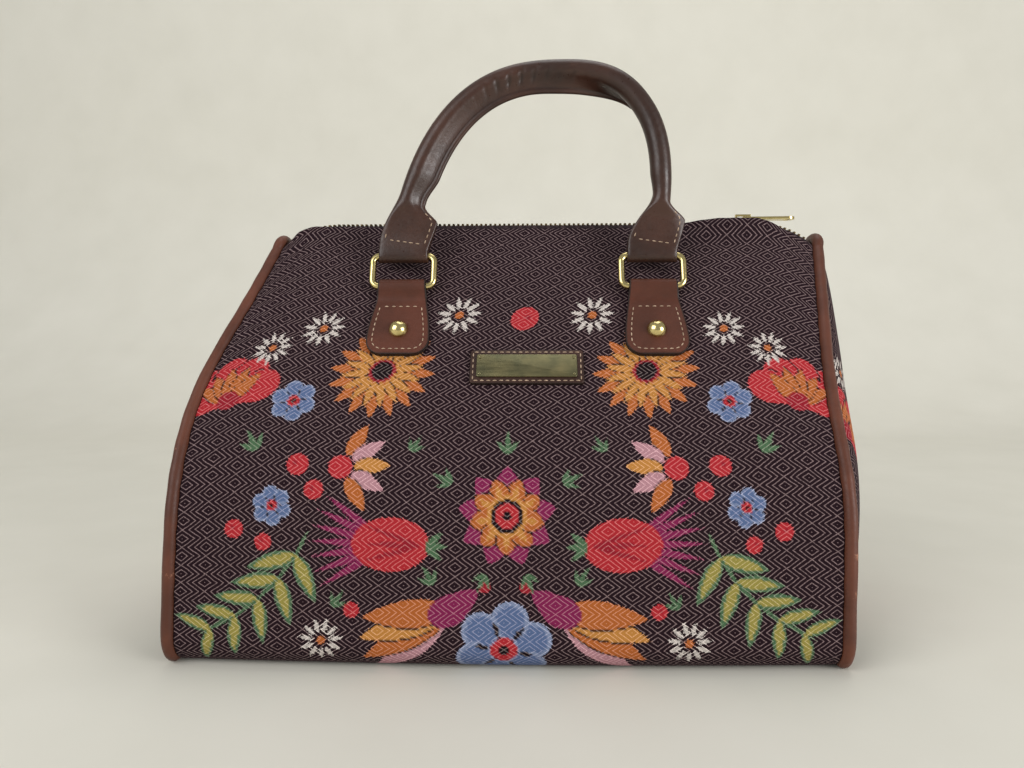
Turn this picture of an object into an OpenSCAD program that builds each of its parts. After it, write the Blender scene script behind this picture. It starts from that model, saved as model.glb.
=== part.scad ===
// Zip-top handbag with two rolled leather handles.
// Millimetres, +Z up, front towards -Y. The origin is the middle of the base.

/* [Body] */
// Length of the base between the piping centre lines
body_w = 295; // [240:1:360]
// Depth of the base, front to back
body_d = 190; // [160:1:230]
// Height of the hems along the mouth
hem_z = 200; // [180:1:240]
// Width of the mouth between the two hems
mouth_w = 18; // [17:0.5:26]
// Height at which the upright wall turns into the leaning one
shoulder_z = 80; // [60:1:90]
// Softness of that turn
shoulder_soft = 11; // [5:0.5:14]
// Radius of the fold between wall and base
base_r = 14; // [8:1:20]
// Thickness of the backed fabric
wall_t = 1.6; // [1:0.1:2.4]
// How far the wall swells out at mid length
belly = 4; // [0:0.5:7]
// Height at which that swelling has died out
belly_z = 108; // [80:1:114]
// How far the left end panel swells out
left_bulge = 18; // [10:1:40]
// How far the right end panel swells out
right_bulge = 24; // [10:1:40]
// How much shorter each end is at the hem than at the base
top_taper = 6; // [0:0.5:10]
// How far each end's edge swells out at mid height
edge_swell = 2; // [0:0.5:6]
// How far the middle of the bag sways to the left
side_sway = 4.5; // [0:0.5:8]
// How far the soft top slumps to the right
side_lean = 19; // [0:0.5:24]
// How far the ends of the mouth dip to the piping
end_drop = 9.5; // [6:0.5:16]
// Share of the half length that is level before the dip
level_share = 0.8; // [0.7:0.01:0.86]

/* [Lining and base board] */
// Thickness of the lining
lining_t = 0.8; // [0.5:0.1:1.2]
// Thickness of the stiffening board in the base
board_t = 2; // [1.5:0.1:3]
// Margin of the board inside the base
board_margin = 8; // [5:0.5:14]

/* [Piping] */
// Diameter of the piping round each end panel
piping_d = 6; // [4:0.2:8]
// How far the piping stands proud of the fabric
piping_proud = 1.8; // [0.8:0.1:2.4]

/* [Zip] */
// Pitch of the teeth along each half of the chain
tooth_pitch = 2.45; // [2.2:0.05:3]
// Width of a tooth along the chain
tooth_w = 1.15; // [0.9:0.05:1.3]
// Height of a tooth
tooth_h = 3; // [2.6:0.1:3.6]
// Depth of a tooth across the chain
tooth_d = 4; // [3.4:0.1:4.4]
// Gap between the two halves, where the slider's wedge runs
chain_gap = 1.4; // [1.2:0.1:2]
// Thickness of the tape
tape_t = 0.6; // [0.4:0.05:0.8]
// Height of the tape above the hems
tape_rise = 1.4; // [1.2:0.1:2.4]
// Length of the slider
slider_l = 12; // [9:0.5:15]
// Thickness of the slider's plates
slider_t = 1.2; // [0.9:0.1:1.6]
// Length of the pull
pull_l = 27; // [20:1:34]
// Width of the pull
pull_w = 8; // [7:0.5:11]
// Thickness of the pull
pull_t = 1.4; // [1:0.1:1.8]

/* [Tabs and rings] */
// Distance between the two tabs of a side, centre to centre
tab_spacing = 123; // [100:1:150]
// Sideways place of the middle between them
hardware_x = 9.5; // [0:0.5:14]
// Height of a tab's loop on the wall
tab_z = 166.5; // [162:0.5:172]
// Length of a tab below its loop
tab_l = 39; // [36:0.5:42]
// Width of a tab at its loop
tab_w = 23; // [20:0.5:27]
// Width of a tab at its foot
tab_foot_w = 30; // [27:0.5:34]
// Corner radius of a tab's foot
tab_corner = 8; // [3:0.5:10]
// Thickness of a tab
tab_t = 2.4; // [1.8:0.1:3]
// Diameter of the ring's wire
ring_wire = 3.4; // [2.6:0.1:4]
// Width inside a ring beyond the strap in it
ring_play = 2.5; // [2:0.5:6]
// Distance between the two bars of a ring
ring_reach = 16; // [14:0.5:20]
// Corner radius of a ring on its centre line
ring_corner = 3.5; // [3:0.1:4]
// Leather round a ring's bar
loop_t = 1.5; // [1:0.1:2]
// Diameter of a rivet's dome
rivet_d = 9.5; // [7:0.5:12]
// Height of a rivet's dome
rivet_h = 4; // [2:0.1:4.5]
// Diameter of a rivet's shank
rivet_shank = 3; // [2:0.1:4]
// Distance of a rivet below its tab's loop
rivet_drop = 25; // [20:0.5:27]

/* [Handles] */
// Height of a handle's centre line above its bars
handle_h = 90; // [80:1:120]
// Width of the rolled leather from its back to its seam
handle_w = 16.5; // [13:0.5:20]
// Thickness of the rolled leather
handle_t = 10.5; // [9:0.5:13]
// Width of the neck above each flat end
neck_w = 12.5; // [10:0.5:13]
// Sideways lean of the arch
handle_skew = 16; // [0:1:22]
// Squareness of the arch
arch_power = 2.6; // [2:0.1:3]
// Width of each flat end at its fold
strap_w = 24.5; // [21:0.5:27]
// Length of each flat end
strap_h = 19; // [16:0.5:24]
// Thickness of each flat end
strap_t = 4.2; // [3:0.1:5]
// Extra width of a flat end at its shoulder
strap_flare = 3; // [2:0.5:6]

/* [Name plate] */
// Height of the plate's middle on the wall
plate_z = 129.5; // [126:0.5:131]
// Length of the leather backing
backing_w = 53; // [46:0.5:60]
// Height of the leather backing
backing_h = 18.5; // [15:0.5:20]
// Thickness of the leather backing
backing_t = 1.6; // [1:0.1:2.4]
// Leather showing round the plate
plate_margin = 3.2; // [2:0.1:4]
// Thickness of the plate
plate_t = 0.8; // [0.5:0.1:1.2]
// Corner radius of the backing
backing_corner = 2; // [1:0.1:3]
// Diameter of a plate pin
pin_d = 1.6; // [1.2:0.1:2]

/* [Clearances] */
// Gap between a piece and the one it lies on
seat_gap = 0.05; // [0.02:0.01:0.2]
// Gap between a sewn edge and its neighbour
sewn_gap = 0.2; // [0.1:0.05:0.4]
// Gap round a bar or pin that turns
turn_gap = 0.3; // [0.2:0.05:0.4]

/* [Hidden] */
$fn = 48;

fabric = "#2e1d22";
leather = "#6b3f2e";
brass = "#c9b45a";
old_brass = "#8a8560";
cloth = "#8d8070";
board = "#77706a";

half_w = body_w / 2;
half_d = body_d / 2;
piping_r = piping_d / 2;
edge_in = piping_r + sewn_gap;
sway_z = 0.61 * hem_z;
sway_soft = 0.21 * hem_z;
ring_in_w = max(tab_w, strap_w) + ring_play;
seam_in = 8;
corner_steps = 4;
wall_steps = 16;

// Side profile: an upright wall that turns into a straight lean towards the mouth
function soft_ramp(z) = shoulder_soft * ln(1 + exp((z - shoulder_z) / shoulder_soft));
lean_rate = (half_d - mouth_w / 2) / (soft_ramp(hem_z) - soft_ramp(0));
function lean(z) = atan(lean_rate / (1 + exp((shoulder_z - z) / shoulder_soft)));
function reach(z) = half_d - lean_rate * (soft_ramp(z) - soft_ramp(0));
corner_points = [for (i = [0:corner_steps]) let (a = -90 + 90 * i / corner_steps)
    [half_d - base_r + base_r * cos(a), base_r + base_r * sin(a)]];
wall_points = [for (i = [1:wall_steps]) let (z = base_r + (hem_z - base_r) * i / wall_steps) [reach(z), z]];
profile = concat([[half_d - base_r - seam_in, 0]], corner_points, wall_points);

// Points of a path moved inwards, square to the path
function tangent(p, i) = p[min(i + 1, len(p) - 1)] - p[max(i - 1, 0)];
function outward(p, i) = let (t = tangent(p, i)) [t[1], -t[0]] / norm(t);
function inset(p, t) = [for (i = [0:len(p) - 1]) p[i] - t * outward(p, i)];

// Where a profile point lies at station u, from -1 at the left end to 1 at the right
function dip(u) = pow(max(0, abs(u) - level_share) / (1 - level_share), 2);
function swell(z) = z < belly_z ? pow(cos(90 * z / belly_z), 2) : 0;
function soft_middle(z) = exp(-pow((z - sway_z) / sway_soft, 2));
function slump(z) = side_lean * pow(z / hem_z, 2) - side_sway * soft_middle(z);
function half_len(z) = half_w - top_taper * z / hem_z + edge_swell * soft_middle(z);
function place(u, p) = [
    u * (half_len(p[1]) - edge_in) + slump(p[1]),
    -p[0] * (1 + belly * (1 - u * u) * swell(p[1]) / half_d),
    p[1] - end_drop * dip(u) * pow(p[1] / hem_z, 2)
];
function place_end(side, p, out) = [
    side * (half_len(p[1]) + out) + slump(p[1]),
    -p[0],
    p[1] - end_drop * pow(p[1] / hem_z, 2)
];
dip_steps = 5;
level_steps = 3;
half_stations = concat(
    [for (i = [0:dip_steps]) 1 - (1 - level_share) * i / dip_steps],
    [for (i = [1:level_steps - 1]) level_share * (1 - i / level_steps)]);
stations = concat([for (u = half_stations) -u], [0], [for (i = [len(half_stations) - 1:-1:0]) half_stations[i]]);

function flat(grid) = [for (row = grid) each row];
function mirrored(points) = [for (p = points) [-p[0], p[1]]];
function flipped(list) = [for (i = [len(list) - 1:-1:0]) list[i]];
function quad(a, b, c, d) = [[a, b, c], [a, c, d]];

// A sheet between two grids of points, its outer and its inner side
module sheet(outer, inner) {
    n = len(outer);
    m = len(outer[0]);
    k = n * m;
    faces = concat(
        [for (i = [0:n - 2], j = [0:m - 2])
            each quad(i * m + j, i * m + j + 1, (i + 1) * m + j + 1, (i + 1) * m + j)],
        [for (i = [0:n - 2], j = [0:m - 2])
            each quad(k + (i + 1) * m + j, k + (i + 1) * m + j + 1, k + i * m + j + 1, k + i * m + j)],
        [for (i = [0:n - 2]) each quad(i * m, (i + 1) * m, k + (i + 1) * m, k + i * m)],
        [for (i = [0:n - 2]) let (e = m - 1)
            each quad((i + 1) * m + e, i * m + e, k + i * m + e, k + (i + 1) * m + e)],
        [for (j = [0:m - 2]) each quad(j + 1, j, k + j, k + j + 1)],
        [for (j = [0:m - 2]) let (e = (n - 1) * m)
            each quad(e + j, e + j + 1, k + e + j + 1, k + e + j)]);
    polyhedron(concat(flat(outer), flat(inner)), faces);
}

// A bar through rings of points, closed at both ends or joined into a loop
module bar(rings, loop = false) {
    n = len(rings);
    m = len(rings[0]);
    last = loop ? n - 1 : n - 2;
    sides = [for (i = [0:last], j = [0:m - 1]) let (a = i * m, b = (i + 1) % n * m, c = (j + 1) % m)
        each quad(a + j, a + c, b + c, b + j)];
    caps = [for (j = [1:m - 2]) each [[0, j + 1, j], [(n - 1) * m, (n - 1) * m + j, (n - 1) * m + j + 1]]];
    polyhedron(flat(rings), loop ? sides : concat(sides, caps));
}

// Front or rear wall, from the base seam round the fold and up to the hem
module wall(back) {
    side = back ? mirrored(profile) : profile;
    inner = inset(profile, wall_t);
    inside = back ? mirrored(inner) : inner;
    order = back ? flipped(stations) : stations;
    sheet([for (u = order) [for (p = side) place(u, p)]], [for (u = order) [for (p = inside) place(u, p)]]);
}

module front_panel() {
    color(fabric) wall(false);
}

module rear_panel() {
    color(fabric) wall(true);
}

module base_panel() {
    seam = profile[0];
    front_edge = [for (u = stations) let (p = place(u, seam)) [p[0], p[1]]];
    rear_edge = [for (u = flipped(stations)) let (p = place(u, seam)) [p[0], -p[1]]];
    color(fabric) linear_extrude(wall_t) polygon(concat(front_edge, rear_edge));
}

// The piping rises along the profile's edge and closes over the end of the mouth
piping_line = inset(profile, piping_r - piping_proud);
piping_rise = [for (i = [1:len(piping_line) - 1]) [piping_line[i][0], max(piping_line[i][1], piping_r)]];
piping_tip = piping_rise[len(piping_rise) - 1];
piping_top = piping_tip[1] + 0.7 * piping_tip[0];
end_peak = 2;

// End panel: a swollen sheet whose rim is tucked inside the piping
module end_panel(side, bulge) {
    rim = inset(profile, piping_d - piping_proud + sewn_gap);
    low = piping_d + sewn_gap;
    under = [for (p = rim) if (p[1] <= low) p];
    above = [for (p = rim) if (p[1] > low) p];
    high = piping_top - piping_r - sewn_gap;
    rows = concat([[under[len(under) - 1][0], low]], above, [[end_peak / 2, high]]);
    columns = [for (k = [-4:4]) side * sin(22.5 * k)];
    function swollen(p, c) =
        bulge * pow(1 - c * c, 0.65) * pow(max(0, sin(180 * pow((p[1] - low) / (high - low), 0.8))), 0.7);
    function grid(out) =
        [for (p = rows) [for (c = columns) place_end(side, [p[0] * c, p[1]], swollen(p, c) + out)]];
    color(fabric) sheet(grid(wall_t / 2), grid(-wall_t / 2));
}

module left_end_panel() {
    end_panel(-1, left_bulge);
}

module right_end_panel() {
    end_panel(1, right_bulge);
}

// Lining: a sack with flat ends, open at the mouth
module lining() {
    floor_z = wall_t + board_t + 2 * sewn_gap;
    first_wall = corner_steps + 1;
    last_wall = len(profile) - 2;
    function section(t) = let (
        p = inset(profile, wall_t + 2 * sewn_gap + t),
        walls = [for (i = [first_wall:last_wall]) p[i]],
        side = concat([[half_d - base_r - seam_in, floor_z + t]], walls))
        concat(flipped(side), mirrored(side));
    function grid(t, share) = [for (u = stations) [for (p = section(t)) place(u * share, p)]];
    outer = grid(0, 1);
    inner = grid(lining_t, 1 - lining_t / half_w);
    n = len(stations);
    m = len(outer[0]);
    k = n * m;
    pairs = m / 2 - 1;
    e = (n - 1) * m;
    faces = concat(
        [for (i = [0:n - 2], j = [0:m - 2])
            each quad(i * m + j + 1, i * m + j, (i + 1) * m + j, (i + 1) * m + j + 1)],
        [for (i = [0:n - 2], j = [0:m - 2])
            each quad(k + i * m + j, k + i * m + j + 1, k + (i + 1) * m + j + 1, k + (i + 1) * m + j)],
        [for (j = [0:pairs - 1]) each quad(j, j + 1, m - 2 - j, m - 1 - j)],
        [for (j = [0:pairs - 1]) each quad(e + j + 1, e + j, e + m - 1 - j, e + m - 2 - j)],
        [for (j = [0:pairs - 1]) each quad(k + j + 1, k + j, k + m - 1 - j, k + m - 2 - j)],
        [for (j = [0:pairs - 1]) each quad(k + e + j, k + e + j + 1, k + e + m - 2 - j, k + e + m - 1 - j)],
        [for (i = [0:n - 2]) each quad((i + 1) * m, i * m, k + i * m, k + (i + 1) * m)],
        [for (i = [0:n - 2]) let (j = m - 1)
            each quad(i * m + j, (i + 1) * m + j, k + (i + 1) * m + j, k + i * m + j)],
        quad(0, m - 1, k + m - 1, k),
        quad(e + m - 1, e, k + e, k + e + m - 1));
    color(cloth) polyhedron(concat(flat(outer), flat(inner)), faces);
}

module base_board() {
    w = body_w - 2 * (edge_in + board_margin);
    d = body_d - 2 * (base_r + board_margin);
    color(board) translate([-w / 2, -d / 2, wall_t + seat_gap]) cube([w, d, board_t]);
}

// Piping: a round cord sewn into the seam all round an end panel
module piping(side) {
    sides = 10;
    base_steps = 4;
    top_steps = 6;
    top = [for (i = [1:top_steps - 1]) let (a = 180 * i / top_steps)
        [piping_tip[0] * cos(a), piping_tip[1] + (piping_top - piping_tip[1]) * sin(a)]];
    bottom = [for (i = [1:base_steps - 1]) [piping_rise[0][0] * (2 * i / base_steps - 1), piping_r]];
    loop = concat(piping_rise, top, flipped(mirrored(piping_rise)), bottom);
    n = len(loop);
    function across(i) = let (t = loop[(i + 1) % n] - loop[(i + n - 1) % n]) [t[1], -t[0]] / norm(t);
    function ring(i) = let (c = place_end(side, loop[i], 0), o = across(i))
        [for (j = [0:sides - 1]) let (a = 360 * (j + 0.5) / sides)
            c + piping_r * [cos(a), -o[0] * sin(a), o[1] * sin(a)]];
    color(leather) bar([for (i = [0:n - 1]) ring(i)], loop = true);
}

module left_piping() {
    piping(-1);
}

module right_piping() {
    piping(1);
}

// Zip: two tapes, two rows of teeth crimped on them, a slider and its pull
tape_z = hem_z + tape_rise;
chain_z = tape_z + tape_t / 2;
tape_edge = chain_gap / 2 + 1.3;
tooth_slot = 0.15;

module zip_tape(back) {
    flange_z = hem_z - 8;
    slant = sqrt(1 + lean_rate * lean_rate);
    function beside(z) = mouth_w / 2 + lean_rate * (hem_z - z) - wall_t * slant - sewn_gap;
    section = [
        [tape_edge, tape_z + tape_t],
        [beside(tape_z + tape_t), tape_z + tape_t],
        [beside(flange_z), flange_z],
        [beside(flange_z) - tape_t * slant, flange_z],
        [beside(tape_z) - tape_t * slant, tape_z],
        [tape_edge, tape_z]
    ];
    side = back ? mirrored(section) : section;
    order = back ? flipped(stations) : stations;
    color(fabric) bar([for (u = order) [for (p = side) place(u, p)]]);
}

module front_zip_tape() {
    zip_tape(false);
}

module rear_zip_tape() {
    zip_tape(true);
}

// One tooth across the chain: a head, and two legs crimped over the edge of the tape
module tooth() {
    tip = chain_gap / 2;
    heel = tip + tooth_d;
    slot = tape_t / 2 + tooth_slot;
    h = tooth_h / 2;
    neck = 0.9;
    rotate([90, 0, -90]) linear_extrude(tooth_w, center = true) polygon([
        [tip, -h * 0.65], [tip + neck, -h], [heel, -h], [heel, -slot], [tape_edge - 0.1, -slot],
        [tape_edge - 0.1, slot], [heel, slot], [heel, h], [tip + neck, h], [tip, h * 0.65]
    ]);
}

// Height and slope of the chain follow the same straight pieces as the tape
module zip_teeth(back) {
    end_share = 0.975;
    run = half_len(chain_z) - edge_in;
    count = floor(end_share * run / tooth_pitch);
    shift = back ? tooth_pitch / 2 : 0;
    color(brass) for (i = [-count:count - (back ? 1 : 0)]) {
        x = i * tooth_pitch + shift;
        k = max([for (j = [0:len(stations) - 2]) x / run >= stations[j] ? j : 0]);
        a = place(stations[k], [0, chain_z]);
        b = place(stations[k + 1], [0, chain_z]);
        share = (x / run - stations[k]) / (stations[k + 1] - stations[k]);
        translate(a + share * (b - a))
            rotate([0, (back ? 1 : -1) * atan2(b[2] - a[2], b[0] - a[0]), back ? 180 : 0]) tooth();
    }
}

module front_zip_teeth() {
    zip_teeth(false);
}

module rear_zip_teeth() {
    zip_teeth(true);
}

// The slider stands at the right end of the level stretch
level_run = level_share * (half_len(hem_z) - edge_in);
slider_x = slump(hem_z) + level_run - slider_l / 2;
slider_play = 0.25;
slider_half = chain_gap / 2 + tooth_d + 0.6;
top_plate_z = chain_z + tooth_h / 2 + slider_play;
bail_w = 2;
bail_t = 1;
bail_l = 6;
bail_room = 0.35;
pull_bar = 1.6;
pull_z = top_plate_z + slider_t + bail_room + pull_bar / 2;
bail_top = pull_z + pull_bar / 2 + bail_room + bail_t;

module zip_slider() {
    wedge_l = 3;
    wedge_w = chain_gap - 0.5;
    lip = 0.35;
    lip_h = 0.8;
    bottom_z = chain_z - tooth_h / 2 - slider_play - slider_t;
    nose = slider_l * 0.22;
    module plate() {
        linear_extrude(slider_t) polygon([
            [-slider_l / 2, -slider_half * 0.72], [slider_l / 2 - nose, -slider_half], [slider_l / 2, -slider_half * 0.6],
            [slider_l / 2, slider_half * 0.6], [slider_l / 2 - nose, slider_half], [-slider_l / 2, slider_half * 0.72]
        ]);
    }
    color(brass) translate([slider_x, 0, 0]) {
        translate([0, 0, top_plate_z]) plate();
        translate([0, 0, bottom_z]) plate();
        translate([slider_l / 2 - nose - wedge_l, -wedge_w / 2, bottom_z])
            cube([wedge_l, wedge_w, top_plate_z + slider_t - bottom_z]);
        for (s = [-1, 1]) translate([slider_l / 2 - nose - 2, s * (slider_half - lip / 2) - lip / 2, top_plate_z - lip_h])
            cube([2, lip, lip_h + slider_t / 2]);
        translate([0, bail_w / 2, 0]) rotate([90, 0, 0]) linear_extrude(bail_w) difference() {
            translate([-bail_l / 2 - bail_t, top_plate_z + slider_t / 2])
                square([bail_l + 2 * bail_t, bail_top - top_plate_z - slider_t / 2]);
            translate([-bail_l / 2, top_plate_z])
                square([bail_l, bail_top - bail_t - top_plate_z]);
        }
    }
}

// The pull turns on its end bar, under the slider's bail
module zip_pull() {
    window_l = bail_l / 2 + bail_t + 2;
    window_w = bail_w + 2 * bail_room + 0.6;
    tip_r = pull_w / 2;
    neck = window_l + 1.6;
    color(brass) translate([slider_x, 0, pull_z]) {
        rotate([90, 0, 0]) cylinder(d = pull_bar, h = window_w + 2.6, center = true);
        for (s = [-1, 1]) translate([0, s * (window_w / 2 + 0.65) - 0.65, -pull_t / 2]) cube([neck, 1.3, pull_t]);
        translate([window_l, 0, -pull_t / 2]) linear_extrude(pull_t) difference() {
            union() {
                polygon([[0, -window_w / 2 - 1.3], [pull_l - window_l - tip_r, -tip_r],
                    [pull_l - window_l - tip_r, tip_r], [0, window_w / 2 + 1.3]]);
                translate([pull_l - window_l - tip_r, 0]) circle(r = tip_r);
            }
            translate([pull_l - window_l - tip_r, 0]) circle(r = tip_r * 0.45);
        }
    }
}

// Puts children on the leaning wall at a height: +Y up the slope, +Z straight out of it
module on_wall(x, z) {
    translate([x, -reach(z), z]) rotate([90 - lean(z), 0, 0]) children();
}

module for_rear() {
    mirror([0, 1, 0]) children();
}

bar_r = ring_wire / 2;
bore_r = bar_r + turn_gap;
loop_r = bore_r + loop_t;
pivot_out = seat_gap + loop_r;
left_x = hardware_x - tab_spacing / 2;
right_x = hardware_x + tab_spacing / 2;

// Tab: a strap folded round the ring's lower bar, stitched flat and flaring to its foot
module tab(x) {
    side_steps = 8;
    corner_points_n = 5;
    function half_width(s) = (tab_w + (tab_foot_w - tab_w) * (1 - cos(180 * s)) / 2) / 2;
    foot_y = -tab_l + tab_corner;
    sides = [for (i = [0:side_steps]) let (s = i / side_steps)
        [half_width(s), loop_r + (foot_y - loop_r) * s]];
    corner = [for (i = [1:corner_points_n]) let (a = -90 * i / corner_points_n)
        [tab_foot_w / 2 - tab_corner + tab_corner * cos(a), foot_y + tab_corner * sin(a)]];
    right = concat(sides, corner);
    color(leather) on_wall(x, tab_z) translate([0, 0, seat_gap]) difference() {
        intersection() {
            linear_extrude(3 * loop_r) polygon(concat(right, flipped(mirrored(right))));
            rotate([90, 0, 90]) linear_extrude(2 * tab_foot_w, center = true) difference() {
                union() {
                    translate([0, loop_r]) circle(r = loop_r);
                    translate([-tab_l, 0]) square([tab_l, tab_t]);
                    polygon([[0, 0], [0, 2 * loop_r], [-1.6 * loop_r, tab_t], [-1.6 * loop_r, 0]]);
                }
                translate([0, loop_r]) circle(r = bore_r);
            }
        }
        translate([0, -rivet_drop, -1]) cylinder(d = rivet_shank + 2 * seat_gap, h = tab_t + 2);
    }
}

module front_left_tab() {
    tab(left_x);
}

module front_right_tab() {
    tab(right_x);
}

module rear_left_tab() {
    for_rear() tab(left_x);
}

module rear_right_tab() {
    for_rear() tab(right_x);
}

// Dome rivets, each with a shank through its tab
module rivets() {
    ball = (rivet_d * rivet_d / 4 + rivet_h * rivet_h) / (2 * rivet_h);
    dome_angle = acos((ball - rivet_h) / ball);
    steps = 8;
    dome = [for (i = [0:steps]) let (a = dome_angle * (1 - i / steps)) [ball * sin(a), ball * cos(a) - ball + rivet_h]];
    color(brass) for (x = [left_x, right_x]) on_wall(x, tab_z)
        translate([0, -rivet_drop, seat_gap + tab_t + seat_gap]) {
            rotate_extrude() polygon(concat([[0, 0]], dome));
            translate([0, 0, -tab_t]) cylinder(d = rivet_shank, h = tab_t + rivet_h / 2);
        }
}

module front_rivets() {
    rivets();
}

module rear_rivets() {
    for_rear() rivets();
}

// Angles from upright, positive towards the mouth: the front pair stands, the rear pair hangs
front_ring_angle = 18;
front_handle_angle = 6;
rear_handle_angle = lean(tab_z) - 180;
rear_ring_angle = rear_handle_angle + 25;
pivot_y = -reach(tab_z) - cos(lean(tab_z)) * pivot_out;
pivot_z = tab_z + sin(lean(tab_z)) * pivot_out;

module at_pivot(x, angle) {
    translate([x, pivot_y, pivot_z]) rotate([-angle, 0, 0]) children();
}

// Ring: round wire bent to a rectangle, its lower bar on the X axis
module ring(x, angle) {
    half = ring_in_w / 2 + bar_r;
    straight = half - ring_corner;
    color(brass) at_pivot(x, angle) {
        for (z = [0, ring_reach]) translate([0, 0, z]) rotate([0, 90, 0])
            cylinder(r = bar_r, h = 2 * straight, center = true);
        for (s = [-1, 1]) translate([s * half, 0, ring_corner]) cylinder(r = bar_r, h = ring_reach - 2 * ring_corner);
        for (s = [0, 1], t = [0, 1]) translate([(2 * s - 1) * straight, 0, ring_corner + t * (ring_reach - 2 * ring_corner)])
            rotate([90, 0, 0]) rotate([0, 0, s == t ? (s == 0 ? 180 : 0) : (s == 0 ? 90 : 270)])
                rotate_extrude(angle = 90) translate([ring_corner, 0]) circle(r = bar_r);
    }
}

module front_left_ring() {
    ring(left_x, front_ring_angle);
}

module front_right_ring() {
    ring(right_x, front_ring_angle);
}

module rear_left_ring() {
    for_rear() ring(left_x, rear_ring_angle);
}

module rear_right_ring() {
    for_rear() ring(right_x, rear_ring_angle);
}

// Handle: one rolled strap, flat and folded round the ring's upper bar at each end. The roll is a drop in
// section: its seam faces the hand on the left and turns to the rear beyond the top
module handle() {
    steps = 44;
    sides = 12;
    foot = bore_r + 0.4;
    span = tab_spacing / 2;
    neck_z = 1.5 * strap_h;
    full_z = 2.2 * strap_h;
    function power(v, e) = sign(v) * pow(abs(v), e);
    function blend(v, a, b) = let (s = min(1, max(0, (v - a) / (b - a)))) s * s * (3 - 2 * s);
    function path(i) = let (
        t = 90 * (1 - cos(180 * i / steps)),
        h = pow(sin(t), 2 / arch_power))
        [-span * power(cos(t), 2 / arch_power) + handle_skew * h, foot + (handle_h - foot) * h];
    // A flat end keeps its width up to an ear on its right and tapers from the fold on its left
    function rolled(v, side) = let (
        ear = blend(v, 0.95 * strap_h, 1.4 * strap_h),
        taper = blend(v, 0.3 * strap_h, 1.6 * strap_h))
        taper + (ear - taper) * (1 + side) / 2;
    function section(i) = let (
        c = path(i),
        along = path(min(steps, i + 1)) - path(max(0, i - 1)),
        half = sign(steps / 2 - i),
        upright = [0, half],
        ahead = upright + blend(c[1], 0, neck_z) * (along / norm(along) - upright),
        across = [ahead[1], -ahead[0]] / norm(ahead),
        flat_w = (strap_w + strap_flare * blend(c[1], 0, strap_h)) / 2,
        roll_w = (neck_w + (handle_w - neck_w) * blend(c[1], neck_z, full_z)) / 2,
        roll_t = roll_w * handle_t / handle_w,
        turn = 90 * blend(i / steps, 0.46, 0.66))
        [for (j = [0:sides - 1]) let (
            a = -360 * (j + 0.5) / sides,
            share = rolled(c[1], half * cos(a)),
            p = roll_w * cos(a - turn),
            q = roll_t * sin(a - turn) * (0.86 - 0.55 * cos(a - turn)),
            w = (1 - share) * flat_w * power(cos(a), 0.25) + share * (p * cos(turn) - q * sin(turn)),
            t = (1 - share) * strap_t / 2 * power(sin(a), 0.25) + share * (p * sin(turn) + q * cos(turn)))
            [c[0] + across[0] * w, t, c[1] + across[1] * w]];
    color(leather) {
        bar([for (i = [0:steps]) section(i)]);
        for (x = [-span, span]) translate([x, 0, 0]) rotate([0, 90, 0]) difference() {
            cylinder(r = loop_r, h = strap_w, center = true);
            cylinder(r = bore_r, h = strap_w + 2, center = true);
        }
    }
}

module hung_handle(ring_angle, handle_angle) {
    at_pivot(hardware_x, ring_angle) translate([0, 0, ring_reach]) rotate([ring_angle - handle_angle, 0, 0]) handle();
}

module front_handle() {
    hung_handle(front_ring_angle, front_handle_angle);
}

module rear_handle() {
    for_rear() hung_handle(rear_ring_angle, rear_handle_angle);
}

// Name plate: bare metal pinned to a stitched leather backing
module rounded_plate(w, h, r, t) {
    steps = 5;
    corner = [for (q = [0:3], i = [0:steps]) let (
        a = 90 * q + 90 * i / steps,
        sx = q == 0 || q == 3 ? 1 : -1,
        sy = q < 2 ? 1 : -1)
        [sx * (w / 2 - r) + r * cos(a), sy * (h / 2 - r) + r * sin(a)]];
    linear_extrude(t) polygon(corner);
}

plate_w = backing_w - 2 * plate_margin;
plate_h = backing_h - 2 * plate_margin;
plate_base = seat_gap + backing_t + seat_gap;

module plate_backing() {
    color(leather) on_wall(hardware_x, plate_z) translate([0, 0, seat_gap])
        rounded_plate(backing_w, backing_h, backing_corner, backing_t);
}

module name_plate() {
    color(old_brass) on_wall(hardware_x, plate_z) translate([0, 0, plate_base])
        rounded_plate(plate_w, plate_h, backing_corner / 2, plate_t);
}

module plate_pins() {
    inset_xy = pin_d / 2 + 0.7;
    color(old_brass) on_wall(hardware_x, plate_z)
        for (sx = [-1, 1], sy = [-1, 1])
            translate([sx * (plate_w / 2 - inset_xy), sy * (plate_h / 2 - inset_xy), plate_base + plate_t + seat_gap])
                cylinder(d1 = pin_d, d2 = pin_d * 0.6, h = 0.5);
}

front_panel();
rear_panel();
base_panel();
left_end_panel();
right_end_panel();
lining();
base_board();
left_piping();
right_piping();
front_zip_tape();
rear_zip_tape();
front_zip_teeth();
rear_zip_teeth();
zip_slider();
zip_pull();
front_left_tab();
front_right_tab();
rear_left_tab();
rear_right_tab();
front_left_ring();
front_right_ring();
rear_left_ring();
rear_right_ring();
front_rivets();
rear_rivets();
front_handle();
rear_handle();
plate_backing();
name_plate();
plate_pins();
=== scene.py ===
"""A zip-top handbag: woven body with folk flowers, chestnut leather trim and handles, and brass hardware.

Sizes are in millimetres and angles in degrees until a mesh is made. Blender's own units are metres.
"""
import logging
import math
from dataclasses import dataclass, field, replace
from enum import Enum
from functools import partial
from typing import Callable, Iterable, Sequence

import bpy
import numpy as np
from mathutils import Matrix, Vector


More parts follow.
